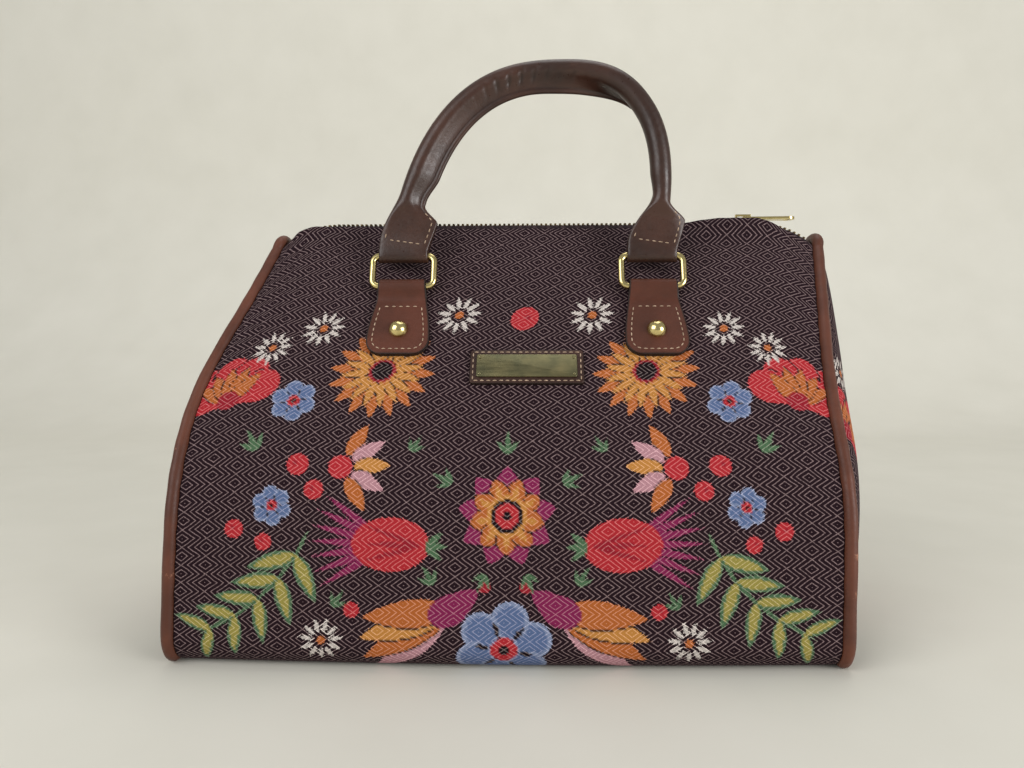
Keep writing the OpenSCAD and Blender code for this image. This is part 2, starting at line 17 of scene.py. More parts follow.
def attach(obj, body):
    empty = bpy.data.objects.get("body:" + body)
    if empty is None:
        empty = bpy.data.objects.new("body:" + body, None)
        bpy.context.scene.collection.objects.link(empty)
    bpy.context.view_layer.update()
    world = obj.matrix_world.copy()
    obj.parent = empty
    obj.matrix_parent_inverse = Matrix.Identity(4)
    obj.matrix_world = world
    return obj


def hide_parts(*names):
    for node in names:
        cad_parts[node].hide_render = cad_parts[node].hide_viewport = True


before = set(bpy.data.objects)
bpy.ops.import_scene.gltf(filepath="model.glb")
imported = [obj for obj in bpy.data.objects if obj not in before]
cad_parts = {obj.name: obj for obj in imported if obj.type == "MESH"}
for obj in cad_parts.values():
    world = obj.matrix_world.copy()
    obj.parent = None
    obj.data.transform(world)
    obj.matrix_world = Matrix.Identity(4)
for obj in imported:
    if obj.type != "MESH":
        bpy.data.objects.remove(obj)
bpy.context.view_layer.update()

MM = 0.001
PER_MM = 1 / MM
# Radians that a wave texture turns through in each unit, at a scale of 1
WAVE_RATE = 20
LOG = logging.getLogger("handbag")
Array = Grid = np.ndarray
Span = tuple[float, float]
Triple = tuple[float, float, float]
Faces = list[list[int]]
Solid = tuple[Array, Faces]
Placer = Callable[[Array], Array]
Thing = bpy.types.Object
Material = bpy.types.Material
Tree, Node, Socket = bpy.types.NodeTree, bpy.types.Node, bpy.types.NodeSocket
NodeAdder = Callable[..., Node]


class Slot(str, Enum):
    """The record's material slots."""

    FABRIC = "woven_fabric"
    LINING = "lining_cloth"
    BOARD = "stiffening_board"
    LEATHER = "leather"
    TAPE = "zip_tape"
    ZIP_METAL = "zip_metal"
    BRASS = "brass"
    OLD_BRASS = "antique_brass"


class Body(str, Enum):
    """The bodies that pieces ride on."""

    BAG = "bag"
    FRONT_RINGS = "front_ring_pair"
    FRONT_GRIP = "front_grip"
    REAR_RINGS = "rear_ring_pair"
    REAR_GRIP = "rear_grip"
    SLIDER = "slider"
    PULL = "pull"


class Side(Enum):
    """The two faces of the bag, as the sign of -Y."""

    FRONT = 1
    REAR = -1

    @property
    def label(self) -> str:
        """The side's word in the names of pieces."""
        return self.name.lower()


def linear(colour: str, alpha: float = 1.0) -> tuple[float, float, float, float]:
    """Turn an sRGB hex colour into linear light.

    Args:
        colour: The colour as "#rrggbb".
        alpha: The fourth value.

    Returns:
        Red, green, blue and alpha.
    """
    parts = [int(colour[i:i + 2], 16) / 255 for i in (1, 3, 5)]
    light = [c / 12.92 if c <= 0.04045 else ((c + 0.055) / 1.055) ** 2.4 for c in parts]
    return (*light, alpha)


def set_inputs(tree: Tree, node: Node, inputs: dict) -> None:
    """Set or link the inputs of a node.

    Args:
        tree: The node tree.
        node: The node.
        inputs: Input sockets by name or number, each with a value, or with the socket or the node to link
            from. A node stands for the first of its outputs that is in use.
    """
    for key, value in inputs.items():
        if isinstance(value, Node):
            value = next(output for output in value.outputs if output.enabled)
        if isinstance(value, Socket):
            tree.links.new(value, node.inputs[key])
        else:
            node.inputs[key].default_value = value


def add_node(tree: Tree, kind: str, inputs: dict | None = None, **settings: object) -> Node:
    """Add one node to a tree.

    Args:
        tree: The node tree.
        kind: The shader node's type.
        inputs: Its inputs, as in set_inputs.
        settings: Attributes of the node.

    Returns:
        The new node.
    """
    node = tree.nodes.new(f"ShaderNode{kind}")
    for name, value in settings.items():
        setattr(node, name, value)
    set_inputs(tree, node, inputs or {})
    return node


def new_material(name: str) -> tuple[Material, NodeAdder, Callable[[dict], None]]:
    """Make an empty node material.

    Args:
        name: The material's name.

    Returns:
        The material, what adds a node to it, and what sets the inputs of its surface shader.
    """
    material = bpy.data.materials.new(name)
    material.use_nodes = True
    tree = material.node_tree
    tree.nodes.clear()
    shader = add_node(tree, "BsdfPrincipled")
    add_node(tree, "OutputMaterial", {"Surface": shader})
    return material, partial(add_node, tree), partial(set_inputs, tree, shader)


def ease(value: Array, low: float, high: float) -> Array:
    """Rise smoothly from 0 at low to 1 at high."""
    share = np.clip((np.asarray(value, float) - low) / (high - low), 0, 1)
    return share * share * (3 - 2 * share)


def power(value: Array, exponent: Array | float) -> Array:
    """Raise to a power and keep the sign."""
    return np.sign(value) * np.abs(value) ** exponent


def directions(path: Array) -> Array:
    """The unit way ahead at every point of an open path."""
    along = np.gradient(path, axis=0)
    return along / np.linalg.norm(along, axis=1, keepdims=True)


def run_along(path: Array) -> Array:
    """Distance of every point of a path from its start."""
    return np.concatenate([[0], np.cumsum(np.linalg.norm(np.diff(path, axis=0), axis=1))])


def points_at(path: Array, run: Array, marks: Sequence[float]) -> Array:
    """Points of a path at given distances from its start."""
    return stacked(*(np.interp(marks, run, column) for column in path.T))


def stacked(*parts: Array) -> Grid:
    """Points from their coordinates, each spread over the same grid."""
    return np.stack(np.broadcast_arrays(*parts), axis=-1)


def inset(path: Array, distance: float) -> Array:
    """Move an open path to its left-hand side.

    Args:
        path: Points in a plane, one row each.
        distance: How far every point moves, square to the path.

    Returns:
        The moved points.
    """
    along = directions(path)
    return path - distance * stacked(along[:, 1], -along[:, 0])


def spaced(path: Array, step: float) -> Array:
    """Put evenly spaced points on a path.

    Args:
        path: Points, one row each.
        step: The spacing to aim at.

    Returns:
        The new points, the first and last kept.
    """
    run = run_along(path)
    return points_at(path, run, np.linspace(0, run[-1], max(2, round(run[-1] / step) + 1)))


def volume(points: Array, faces: Sequence[Sequence[int]]) -> float:
    """Measure the volume inside a closed mesh.

    Args:
        points: Its points.
        faces: Its faces.

    Returns:
        The volume, positive where the faces point outwards.
    """
    total = 0.0
    sizes = {len(face) for face in faces}
    for size in sizes:
        same = np.array([face for face in faces if len(face) == size])
        for k in range(1, size - 1):
            a, b, c = points[same[:, 0]], points[same[:, k]], points[same[:, k + 1]]
            total += np.einsum("ij,ij->i", a, np.cross(b, c)).sum() / 6
    return float(total)


def deselect() -> None:
    """Leave edit mode and select nothing."""
    if bpy.context.object and bpy.context.object.mode != "OBJECT":
        bpy.ops.object.mode_set(mode="OBJECT")
    bpy.ops.object.select_all(action="DESELECT")


def select_only(*pieces: Thing) -> None:
    """Select pieces and nothing else, the first one active."""
    deselect()
    for piece in pieces:
        piece.select_set(True)
    bpy.context.view_layer.objects.active = pieces[0]


def joined(name: str, pieces: Sequence[Thing]) -> Thing:
    """Join pieces into one.

    Args:
        name: The new piece's name.
        pieces: What to join.

    Returns:
        The one piece.
    """
    select_only(*pieces)
    bpy.ops.object.join()
    pieces[0].name = name
    return pieces[0]


def edit_all() -> None:
    """Go into edit mode with everything selected."""
    bpy.ops.object.mode_set(mode="EDIT")
    bpy.ops.mesh.select_all(action="SELECT")


def draw_out(*move: float) -> None:
    """Extrude what is selected, by a move in millimetres."""
    bpy.ops.mesh.extrude_region_move(TRANSFORM_OT_translate={"value": [m * MM for m in move]})


def shade(angle: float) -> None:
    """Leave edit mode and shade the selected piece smooth, but for edges sharper than an angle."""
    bpy.ops.object.mode_set(mode="OBJECT")
    bpy.ops.object.shade_smooth_by_angle(angle=math.radians(angle))


def new_object(name: str, data: bpy.types.ID) -> Thing:
    """Put a new object into the scene."""
    thing = bpy.data.objects.new(name, data)
    bpy.context.scene.collection.objects.link(thing)
    return thing


def points_of(piece: Thing) -> Array:
    """A piece's points, in millimetres."""
    return np.array([v.co for v in piece.data.vertices]) / MM


def move_points(piece: Thing, points: Array) -> None:
    """Give every point of a piece a new place, in millimetres."""
    piece.data.vertices.foreach_set("co", (points * MM).astype(np.float32).ravel())
    piece.data.update()


def make_piece(name: str, points: Array, faces: Sequence[Sequence[int]]) -> Thing:
    """Make a smooth closed mesh with its faces outwards.

    Args:
        name: The piece's name.
        points: Its points in millimetres.
        faces: Its faces.

    Returns:
        The new object, at the origin.
    """
    if volume(points, faces) < 0:
        faces = [face[::-1] for face in faces]
    mesh = bpy.data.meshes.new(name)
    mesh.from_pydata((points * MM).tolist(), [], faces)
    mesh.polygons.foreach_set("use_smooth", np.ones(len(mesh.polygons), bool))
    mesh.update()
    return new_object(name, mesh)


def keep_values(piece: Thing, name: str, values: Array) -> None:
    """Store a number or a colour for every point of a piece.

    Args:
        piece: The piece.
        name: What the values are called.
        values: One number or one row of four for each point.
    """
    kind, key = ("FLOAT", "value") if values.ndim == 1 else ("FLOAT_COLOR", "color")
    attribute = piece.data.attributes.new(name, kind, "POINT")
    attribute.data.foreach_set(key, np.ascontiguousarray(values, np.float32).ravel())


def keep_cloth_map(piece: Thing, places: Array) -> None:
    """Store where every point of a piece lies on the flat cloth, as its UV map.

    Args:
        piece: The piece.
        places: Each point's place in millimetres.
    """
    corners = np.empty(len(piece.data.loops), np.int32)
    piece.data.loops.foreach_get("vertex_index", corners)
    layer = piece.data.uv_layers.new(name="cloth")
    layer.data.foreach_set("uv", np.ascontiguousarray(places[corners], np.float32).ravel())


def grid_faces(rows: int, columns: int, start: int = 0, wrap: bool = False) -> Faces:
    """Faces of a grid of points.

    Args:
        rows: Count of rows.
        columns: Count of points in a row.
        start: Number of the grid's first point.
        wrap: True where the last column joins the first.

    Returns:
        The faces, four points each.
    """
    i, j = np.meshgrid(np.arange(rows - 1), np.arange(columns if wrap else columns - 1), indexing="ij")
    i, j = i.ravel(), j.ravel()
    k = (j + 1) % columns
    cells = [i * columns + j, i * columns + k, (i + 1) * columns + k, (i + 1) * columns + j]
    return (stacked(*cells) + start).tolist()


def shell(outer: Grid, inner: Grid) -> Solid:
    """Close two grids of points into a thin wall.

    Args:
        outer: The fine outer grid.
        inner: The inner grid, which has every point or one in a few of the outer grid's.

    Returns:
        Points and faces of the wall.
    """
    n, m = outer.shape[:2]
    p, q = inner.shape[:2]
    step = (n - 1) // (p - 1)
    far = n * m
    faces = grid_faces(n, m)
    faces += [face[::-1] for face in grid_faces(p, q, far)]
    for i in range(p - 1):
        for edge, back in ((0, 0), (m - 1, q - 1)):
            rim = [(i * step + k) * m + edge for k in range(step + 1)]
            face = rim + [far + (i + 1) * q + back, far + i * q + back]
            faces.append(face if edge == 0 else face[::-1])
    for j in range(q - 1):
        for edge, back in ((0, 0), (n - 1, p - 1)):
            rim = [edge * m + j * step + k for k in range(step + 1)]
            face = rim + [far + back * q + j + 1, far + back * q + j]
            faces.append(face[::-1] if edge == 0 else face)
    return np.vstack([outer.reshape(-1, 3), inner.reshape(-1, 3)]), faces


def tube(rings: Grid, loop: bool = False) -> Solid:
    """Join rings of points into a bar.

    Args:
        rings: One ring of points after another.
        loop: True where the last ring joins the first.

    Returns:
        Points and faces of the bar, capped where it isn't a loop.
    """
    n, m = rings.shape[:2]
    faces = grid_faces(n, m, wrap=True)
    last = (n - 1) * m
    if loop:
        faces += [[last + j, last + (j + 1) % m, (j + 1) % m, j] for j in range(m)]
    else:
        faces += [list(range(m))[::-1], list(range(last, last + m))]
    return rings.reshape(-1, 3), faces


def merged(parts: Iterable[Solid]) -> Solid:
    """Put several closed meshes together.

    Args:
        parts: Points and faces of each.

    Returns:
        Points and faces of all, each with its faces outwards.
    """
    points: list[Array] = []
    faces: Faces = []
    count = 0
    for part_points, part_faces in parts:
        if volume(part_points, part_faces) < 0:
            part_faces = [face[::-1] for face in part_faces]
        points.append(part_points)
        faces += [[k + count for k in face] for face in part_faces]
        count += len(part_points)
    return np.vstack(points), faces


def finish_piece(piece: Thing, material: Material, body: Body, slot: Slot,
                 nodes: Sequence[str] = ()) -> Thing:
    """Give a piece its material and body.

    Args:
        piece: The finished piece.
        material: What it is made of.
        body: The body that it rides on.
        slot: Not used.
        nodes: The solids that it stands for.

    Returns:
        The piece.
    """
    piece.data.materials.clear()
    piece.data.materials.append(material)
    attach(piece, body.value)
    if nodes:
        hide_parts(*nodes)
    LOG.info("%s: %d faces", piece.name, len(piece.data.polygons))
    return piece


@dataclass(frozen=True)
class Jacquard:
    """Woven jacquard: pale weft lines in pointed diamonds over a dark warp, with flowers in dyed yarn.

    The eye gets fine zigzag lines, slightly stepped flower edges and a soft purple sheen. Lengths are in
    millimetres of flat cloth, and rates are counts for each millimetre of it.
    """

    ground: str = "#1d0f15"
    sheen: str = "#5a4350"
    line: str = "#937d7c"
    fleck: str = "#e0cbc4"
    line_pitch_x: float = 2.725
    line_pitch_y: float = 1.95
    lines_across: int = 4
    lines_up: int = 2
    line_core: float = 0.04
    line_edge: float = 0.19
    drift_rate: float = 0.16
    drift: Triple = (1.1, 0.9, 0.0)
    yarn_rate: float = 1.4
    thin_yarn: float = 0.25
    ragged: float = 2.4
    stepped: float = 0.5
    flower_edge: Span = (1.25, 1.65)
    flower_shade: float = 0.58
    fleck_share: float = 0.3
    fibre_rate: float = 3.0
    relief: float = 0.25

    def lines(self, add: NodeAdder, cloth: Node) -> tuple[Node, Node, Node]:
        """Draw the woven diamonds.

        Args:
            add: Adds a node to the material.
            cloth: The place on the flat cloth.

        Returns:
            The lines, the lines with weak and strong yarn in them, and the yarn itself.
        """
        uneven = add("TexNoise", {"Vector": cloth, "Scale": self.drift_rate, "Detail": 3.0})
        drift = add("VectorMath", {0: uneven.outputs["Color"], 1: (0.5, 0.5, 0.5)}, operation="SUBTRACT")
        pulled = add("VectorMath", {0: drift, 1: self.drift, 2: cloth}, operation="MULTIPLY_ADD")
        place = add("SeparateXYZ", {0: pulled})
        steps = []
        for axis, pitch, count in (("X", self.line_pitch_x, self.lines_across),
                                   ("Y", self.line_pitch_y, self.lines_up)):
            fold = add("Math", {0: place.outputs[axis], 1: count * pitch}, operation="PINGPONG")
            steps.append(add("Math", {0: fold, 1: pitch}, operation="DIVIDE"))
        phase = add("Math", dict(enumerate(steps)), operation="ADD")
        away = add("Math", {0: phase, 1: 0.5}, operation="PINGPONG")
        line = add("MapRange", {"Value": away, "From Min": self.line_core, "From Max": self.line_edge,
                                "To Min": 1.0, "To Max": 0.0}, interpolation_type="SMOOTHSTEP")
        # The single yarns are about 0.3 mm, too fine to show, so they are drawn at 0.7 mm
        yarn = add("TexNoise", {"Vector": cloth, "Scale": self.yarn_rate, "Detail": 2.0})
        strength = add("MapRange", {"Value": yarn, "From Min": 0.3, "From Max": 0.7, "To Min": self.thin_yarn,
                                    "To Max": 1.0})
        return line, add("Math", {0: line, 1: strength}, operation="MULTIPLY"), yarn

    def dyed(self, add: NodeAdder, pale: Node) -> Node:
        """Colour the flowers: their stored yarn, darker between the lines and flecked on them.

        Args:
            add: Adds a node to the material.
            pale: The woven lines.

        Returns:
            The colour.
        """
        colour = add("Attribute", attribute_name="flower_colour")
        shade = add("MapRange", {"Value": pale, "From Min": 0.0, "From Max": 0.8, "To Min": self.flower_shade,
                                 "To Max": 1.0})
        shaded = add("VectorMath", {0: colour.outputs["Color"], "Scale": shade}, operation="SCALE")
        faint = add("Math", {0: pale, 1: self.fleck_share}, operation="MULTIPLY")
        return add("Mix", {"Factor": faint, "A": shaded, "B": linear(self.fleck)}, data_type="RGBA")

    def build(self) -> Material:
        """Make the material from the cloth map and the stored flower values."""
        material, add, finish = new_material("woven_jacquard")
        cloth = add("UVMap", uv_map="cloth")
        line, pale, yarn = self.lines(add, cloth)
        dark = add("Mix", {"Factor": pale, "A": linear(self.ground), "B": linear(self.line)},
                   data_type="RGBA")
        cover = add("Attribute", attribute_name="flower_cover").outputs["Fac"]
        ragged = add("Math", {0: yarn, 1: self.ragged, 2: cover}, operation="MULTIPLY_ADD")
        stepped = add("Math", {0: line, 1: self.stepped, 2: ragged}, operation="MULTIPLY_ADD")
        low, high = self.flower_edge
        inside = add("MapRange", {"Value": stepped, "From Min": low, "From Max": high},
                     interpolation_type="SMOOTHSTEP")
        surface = add("Mix", {"Factor": inside, "A": dark, "B": self.dyed(add, pale)}, data_type="RGBA")
        fibre = add("TexNoise", {"Vector": cloth, "Scale": self.fibre_rate, "Detail": 2.0})
        height = add("Math", {0: fibre, 1: 0.5, 2: line}, operation="MULTIPLY_ADD")
        relief = add("Bump", {"Strength": 0.5, "Distance": self.relief * MM, "Height": height})
        finish({"Base Color": surface, "Normal": relief, "Roughness": 0.85, "Specular IOR Level": 0.08,
                "Sheen Weight": 0.05, "Sheen Roughness": 0.45, "Sheen Tint": linear(self.sheen)})
        return material


@dataclass(frozen=True)
class Leather:
    """Smooth dyed cowhide with a satin top coat: pebbled grain, uneven dye, dark painted edges and scuffs,
    and painted shade in the handles' creases.

    Sizes of its patches, pores and grain are in millimetres.
    """

    name: str
    face: str
    deep: str
    edge: str = "#20140f"
    scuff: str = "#a9765c"
    scuff_share: float = 0.0
    scuff_patch: float = 9.0
    dye_patch: float = 26.0
    pore: float = 1.6
    grain: float = 0.9
    relief: float = 0.18
    roughness: float = 0.46
    coat: float = 0.28

    def build(self) -> Material:
        """Make the material on Object coordinates, with the stored edge paint and painted crease shade."""
        material, add, finish = new_material(self.name)
        place = add("TexCoord").outputs["Object"]
        cloud = add("TexNoise", {"Vector": place, "Scale": PER_MM / self.dye_patch, "Detail": 4.0,
                                 "Roughness": 0.6})
        cells = add("TexVoronoi", {"Vector": place, "Scale": PER_MM / self.grain}, feature="SMOOTH_F1")
        fine = add("TexNoise", {"Vector": place, "Scale": PER_MM / self.pore, "Detail": 5.0})
        dye = add("MapRange", {"Value": cloud, "From Min": 0.32, "From Max": 0.68},
                  interpolation_type="SMOOTHSTEP")
        tone = add("Mix", {"Factor": dye, "A": linear(self.deep), "B": linear(self.face)}, data_type="RGBA")
        spots = add("TexNoise", {"Vector": place, "Scale": PER_MM / self.scuff_patch, "Detail": 6.0,
                                 "Roughness": 0.72})
        worn = add("MapRange", {"Value": spots, "From Min": 0.72 - self.scuff_share,
                                "From Max": 0.78 - self.scuff_share, "To Max": 0.7})
        rubbed = add("Mix", {"Factor": worn, "A": tone, "B": linear(self.scuff)}, data_type="RGBA")
        # The stored values darken towards the edge colour: real edge paint, and on the handles painted shade
        # in the creases
        rim = add("Attribute", attribute_name="edge_paint_and_crease_shade").outputs["Fac"]
        painted = add("Mix", {"Factor": rim, "A": rubbed, "B": linear(self.edge)}, data_type="RGBA")
        gloss = add("MapRange", {"Value": fine, "From Min": 0.3, "From Max": 0.7,
                                 "To Min": self.roughness - 0.07, "To Max": self.roughness + 0.1})
        height = add("Math", {0: cells, 1: 0.6, 2: fine}, operation="MULTIPLY_ADD")
        relief = add("Bump", {"Strength": 0.3, "Distance": self.relief * MM, "Height": height})
        finish({"Base Color": painted, "Roughness": gloss, "Normal": relief, "Specular IOR Level": self.coat})
        return material


@dataclass(frozen=True)
class Metal:
    """A cast or rolled metal: its tint, how it was finished, and the dull film that it has gathered.

    Sizes of the film's patches and of the polishing strokes are in millimetres.
    """

    name: str
    tint: str
    film: str
    roughness: float
    film_share: float
    brush: Triple = (1.0, 1.0, 1.0)
    patch: float = 5.0
    stroke: float = 0.8
    relief: float = 0.05

    def build(self) -> Material:
        """Make the material on Object coordinates."""
        material, add, finish = new_material(self.name)
        place = add("TexCoord").outputs["Object"]
        turned = add("Mapping", {"Vector": place, "Scale": self.brush})
        cloud = add("TexNoise", {"Vector": place, "Scale": PER_MM / self.patch, "Detail": 4.0})
        strokes = add("TexNoise", {"Vector": turned, "Scale": PER_MM / self.stroke, "Detail": 3.0})
        film = add("MapRange", {"Value": cloud, "From Min": 0.65 - self.film_share,
                                "From Max": 0.85 - 0.5 * self.film_share})
        tone = add("Mix", {"Factor": film, "A": linear(self.tint), "B": linear(self.film)}, data_type="RGBA")
        gloss = add("MapRange", {"Value": strokes, "From Min": 0.3, "From Max": 0.7,
                                 "To Min": self.roughness * 0.8, "To Max": self.roughness * 1.3})
        relief = add("Bump", {"Strength": 0.12, "Distance": self.relief * MM, "Height": strokes})
        finish({"Base Color": tone, "Roughness": gloss, "Normal": relief, "Metallic": 1.0})
        return material


@dataclass(frozen=True)
class PlainWeave:
    """Plain-woven cloth or thread: two sets of yarns, one over the other, matt and slightly uneven.

    Sizes are in millimetres, and rib is a rib's pitch over 2 pi.
    """

    name: str
    yarn: str
    gap: str
    rib: float
    roughness: float = 0.9
    fuzz_patch: float = 3.0
    relief: float = 0.15

    def build(self) -> Material:
        """Make the material on Object coordinates."""
        material, add, finish = new_material(self.name)
        place = add("TexCoord").outputs["Object"]
        fuzz = add("TexNoise", {"Vector": place, "Scale": PER_MM / self.fuzz_patch, "Detail": 4.0})
        bands = {"Vector": place, "Scale": PER_MM / (WAVE_RATE * self.rib), "Distortion": 0.6, "Detail": 2.0}
        ribs, cross = (add("TexWave", bands, bands_direction=way).outputs["Fac"] for way in ("X", "DIAGONAL"))
        woven = add("Math", {0: ribs, 1: cross}, operation="MULTIPLY")
        lit = add("Math", {0: fuzz, 1: 0.6, 2: woven}, operation="MULTIPLY_ADD")
        tone = add("Mix", {"Factor": lit, "A": linear(self.gap), "B": linear(self.yarn)}, data_type="RGBA")
        relief = add("Bump", {"Strength": 0.4, "Distance": self.relief * MM, "Height": woven})
        finish({"Base Color": tone, "Normal": relief, "Roughness": self.roughness, "Specular IOR Level": 0.2})
        return material


@dataclass(frozen=True)
class Painted:
    """A matt painted sweep of paper, with the faint mottle of a roller, so many spots to the metre."""

    name: str
    face: str
    mottle: str
    mottle_rate: float = 14.0

    def build(self) -> Material:
        """Make the material on Object coordinates."""
        material, add, finish = new_material(self.name)
        place = add("TexCoord").outputs["Object"]
        cloud = add("TexNoise", {"Vector": place, "Scale": self.mottle_rate, "Detail": 5.0})
        tone = add("Mix", {"Factor": cloud, "A": linear(self.mottle), "B": linear(self.face)},
                   data_type="RGBA")
        finish({"Base Color": tone, "Roughness": 0.9, "Specular IOR Level": 0.2})
        return material


def made(finish: Jacquard | Leather | Metal | PlainWeave) -> Material:
    """A field that holds a finish's material."""
    return field(default_factory=finish.build)


@dataclass
class Finishes:
    """Every finish on the bag, made once."""

    # Dark cloth with pale zigzags and matt flowers
    jacquard: Material = made(Jacquard())
    # Satin red-brown hide with dark painted edges
    strap: Material = made(Leather("chestnut_strap_leather", "#572e20", "#472518"))
    # Darker hide with a gloss from the hand
    roll: Material = made(Leather("rolled_handle_leather", "#42291f", "#2f1e17", roughness=0.34, coat=0.42))
    # Hide over cord, scuffed pale where the bag rubs
    cord: Material = made(Leather("piping_leather", "#613728", "#4d2b1f", scuff_share=0.08))
    # Deep brown hide under the plate
    backing: Material = made(Leather("plate_backing_leather", "#45291e", "#341e16"))
    # Cast and polished: small sharp lights of pale gold
    brass: Material = made(Metal("polished_cast_brass", "#d8c588", "#a8985c", 0.17, 0.1))
    # Rolled and brushed lengthwise: long soft lights under a green-grey film
    old_brass: Material = made(
        Metal("brushed_antique_brass", "#8d845f", "#5f604a", 0.34, 0.3, (0.08, 1.0, 1.0), 12.0))
    # Stamped and darkened: brown metal with dull gold edges
    zip_metal: Material = made(Metal("darkened_zip_brass", "#6d5c41", "#33291f", 0.35, 0.3))
    # Twisted and waxed: cream with a slight gloss
    thread: Material = made(PlainWeave("waxed_linen_thread", "#bda48d", "#8c7763", 0.4, 0.7))
    # Close ribbed weave, nearly black
    tape: Material = made(PlainWeave("woven_zip_tape", "#3a2c2e", "#1c1416", 0.6))
    # Plain beige cotton
    lining: Material = made(PlainWeave("cotton_lining", "#a2937f", "#7c6e5e", 0.6))
    # Pressed grey pulp with a faint screen mark
    board: Material = made(PlainWeave("grey_pulp_board", "#857d76", "#6c655f", 1.2))


@dataclass(frozen=True)
class BagForm:
    """The bag's driving sizes, and the surfaces that follow from them."""

    half_w: float = 147.5
    half_d: float = 95.0
    hem_z: float = 200.0
    mouth_w: float = 18.0
    shoulder_z: float = 80.0
    shoulder_soft: float = 11.0
    base_r: float = 14.0
    wall_t: float = 1.6
    belly: float = 4.0
    belly_z: float = 108.0
    top_taper: float = 6.0
    edge_swell: float = 2.0
    side_sway: float = 4.5
    sway_z: float = 122.0
    sway_soft: float = 42.0
    side_lean: float = 19.0
    end_drop: float = 9.5
    level_share: float = 0.8
    end_round: float = 0.7
    seam_in: float = 8.0
    piping_d: float = 6.0
    piping_proud: float = 1.8
    sewn_gap: float = 0.2
    seat_gap: float = 0.05
    fold_points: int = 24
    wall_points: int = 160

    @property
    def edge_in(self) -> float:
        """How far a wall's end lies inside the piping's centre line."""
        return self.piping_d / 2 + self.sewn_gap

    def ramp(self, z: Array) -> Array:
        """Height above the shoulder, with a soft start."""
        above = (np.asarray(z, float) - self.shoulder_z) / self.shoulder_soft
        return self.shoulder_soft * np.log1p(np.exp(above))

    @property
    def lean_rate(self) -> float:
        """How far the upper wall goes in for each millimetre up."""
        return float((self.half_d - self.mouth_w / 2) / (self.ramp(self.hem_z) - self.ramp(0)))

    def reach(self, z: Array) -> Array:
        """Half the bag's depth at a height."""
        return self.half_d - self.lean_rate * (self.ramp(z) - self.ramp(0))

    def lean(self, z: float) -> float:
        """The wall's angle from upright at a height, in radians."""
        return math.atan(self.lean_rate / (1 + math.exp((self.shoulder_z - z) / self.shoulder_soft)))

    def soft_middle(self, z: Array) -> Array:
        """One at the soft middle height, and less above and below it."""
        return np.exp(-((z - self.sway_z) / self.sway_soft) ** 2)

    def half_len(self, z: Array) -> Array:
        """Half the bag's length at a height, to the piping's centre line."""
        return self.half_w - self.top_taper * z / self.hem_z + self.edge_swell * self.soft_middle(z)

    def slump(self, z: Array) -> Array:
        """How far the soft cloth has moved sideways at a height, positive to the right."""
        return self.side_lean * (z / self.hem_z) ** 2 - self.side_sway * self.soft_middle(z)

    def place(self, u: Array, d: Array, z: Array) -> Grid:
        """Put a point of the side profile on the bag.

        Args:
            u: Station, from -1 at the left end to 1 at the right.
            d: Half depth, positive at the front.
            z: Height.

        Returns:
            The points.
        """
        dip = (np.maximum(0, np.abs(u) - self.level_share) / (1 - self.level_share)) ** 2
        swell = np.where(z < self.belly_z, np.cos(np.pi / 2 * np.minimum(z / self.belly_z, 1)) ** 2, 0)
        x = u * (self.half_len(z) - self.edge_in) + self.slump(z)
        y = -d * (1 + self.belly * (1 - u * u) * swell / self.half_d)
        return stacked(x, y, z - self.end_drop * dip * (z / self.hem_z) ** 2)

    def place_end(self, side: int, d: Array, z: Array, out: Array | float) -> Grid:
        """Put a point of the side profile on an end, some way out of it."""
        x = side * (self.half_len(z) + out) + self.slump(z)
        return stacked(x, -d, z - self.end_drop * (z / self.hem_z) ** 2)

    def profile(self, step: float) -> Array:
        """Draw a wall's outer line from the base seam round the fold and up to the hem.

        Args:
            step: Spacing of its points.

        Returns:
            Half depth and height of each point.
        """
        turn = np.radians(np.linspace(-90, 0, self.fold_points))
        fold = stacked(self.half_d - self.base_r + self.base_r * np.cos(turn),
                       self.base_r + self.base_r * np.sin(turn))
        heights = np.linspace(self.base_r, self.hem_z, self.wall_points)[1:]
        wall = stacked(self.reach(heights), heights)
        start = [[self.half_d - self.base_r - self.seam_in, 0]]
        return spaced(np.vstack([start, fold, wall]), step)

    def on_wall(self, x: float, z: float, side: Side) -> Placer:
        """Give the map from a flat patch of wall to the bag.

        Args:
            x: Sideways place of the patch.
            z: Its height.
            side: The face of the bag.

        Returns:
            A function of points, each across the wall, up its slope and straight out of it.
        """
        a = self.lean(z)
        axes = np.array([[1, 0, 0], [0, math.sin(a), math.cos(a)], [0, -math.cos(a), math.sin(a)]])
        start = np.array([x, -float(self.reach(z)), z])
        flip = np.array([1, side.value, 1])
        return lambda points: (start + np.asarray(points, float) @ axes) * flip


class MarkShape(Enum):
    """Outlines of a woven field of colour."""

    LEAF = "leaf"
    BLADE = "blade"
    DISC = "disc"


def off(x: float, y: float, distance: float, angle: float) -> tuple[float, float]:
    """A place on the cloth some way from another."""
    a = math.radians(angle)
    return x + distance * math.cos(a), y + distance * math.sin(a)


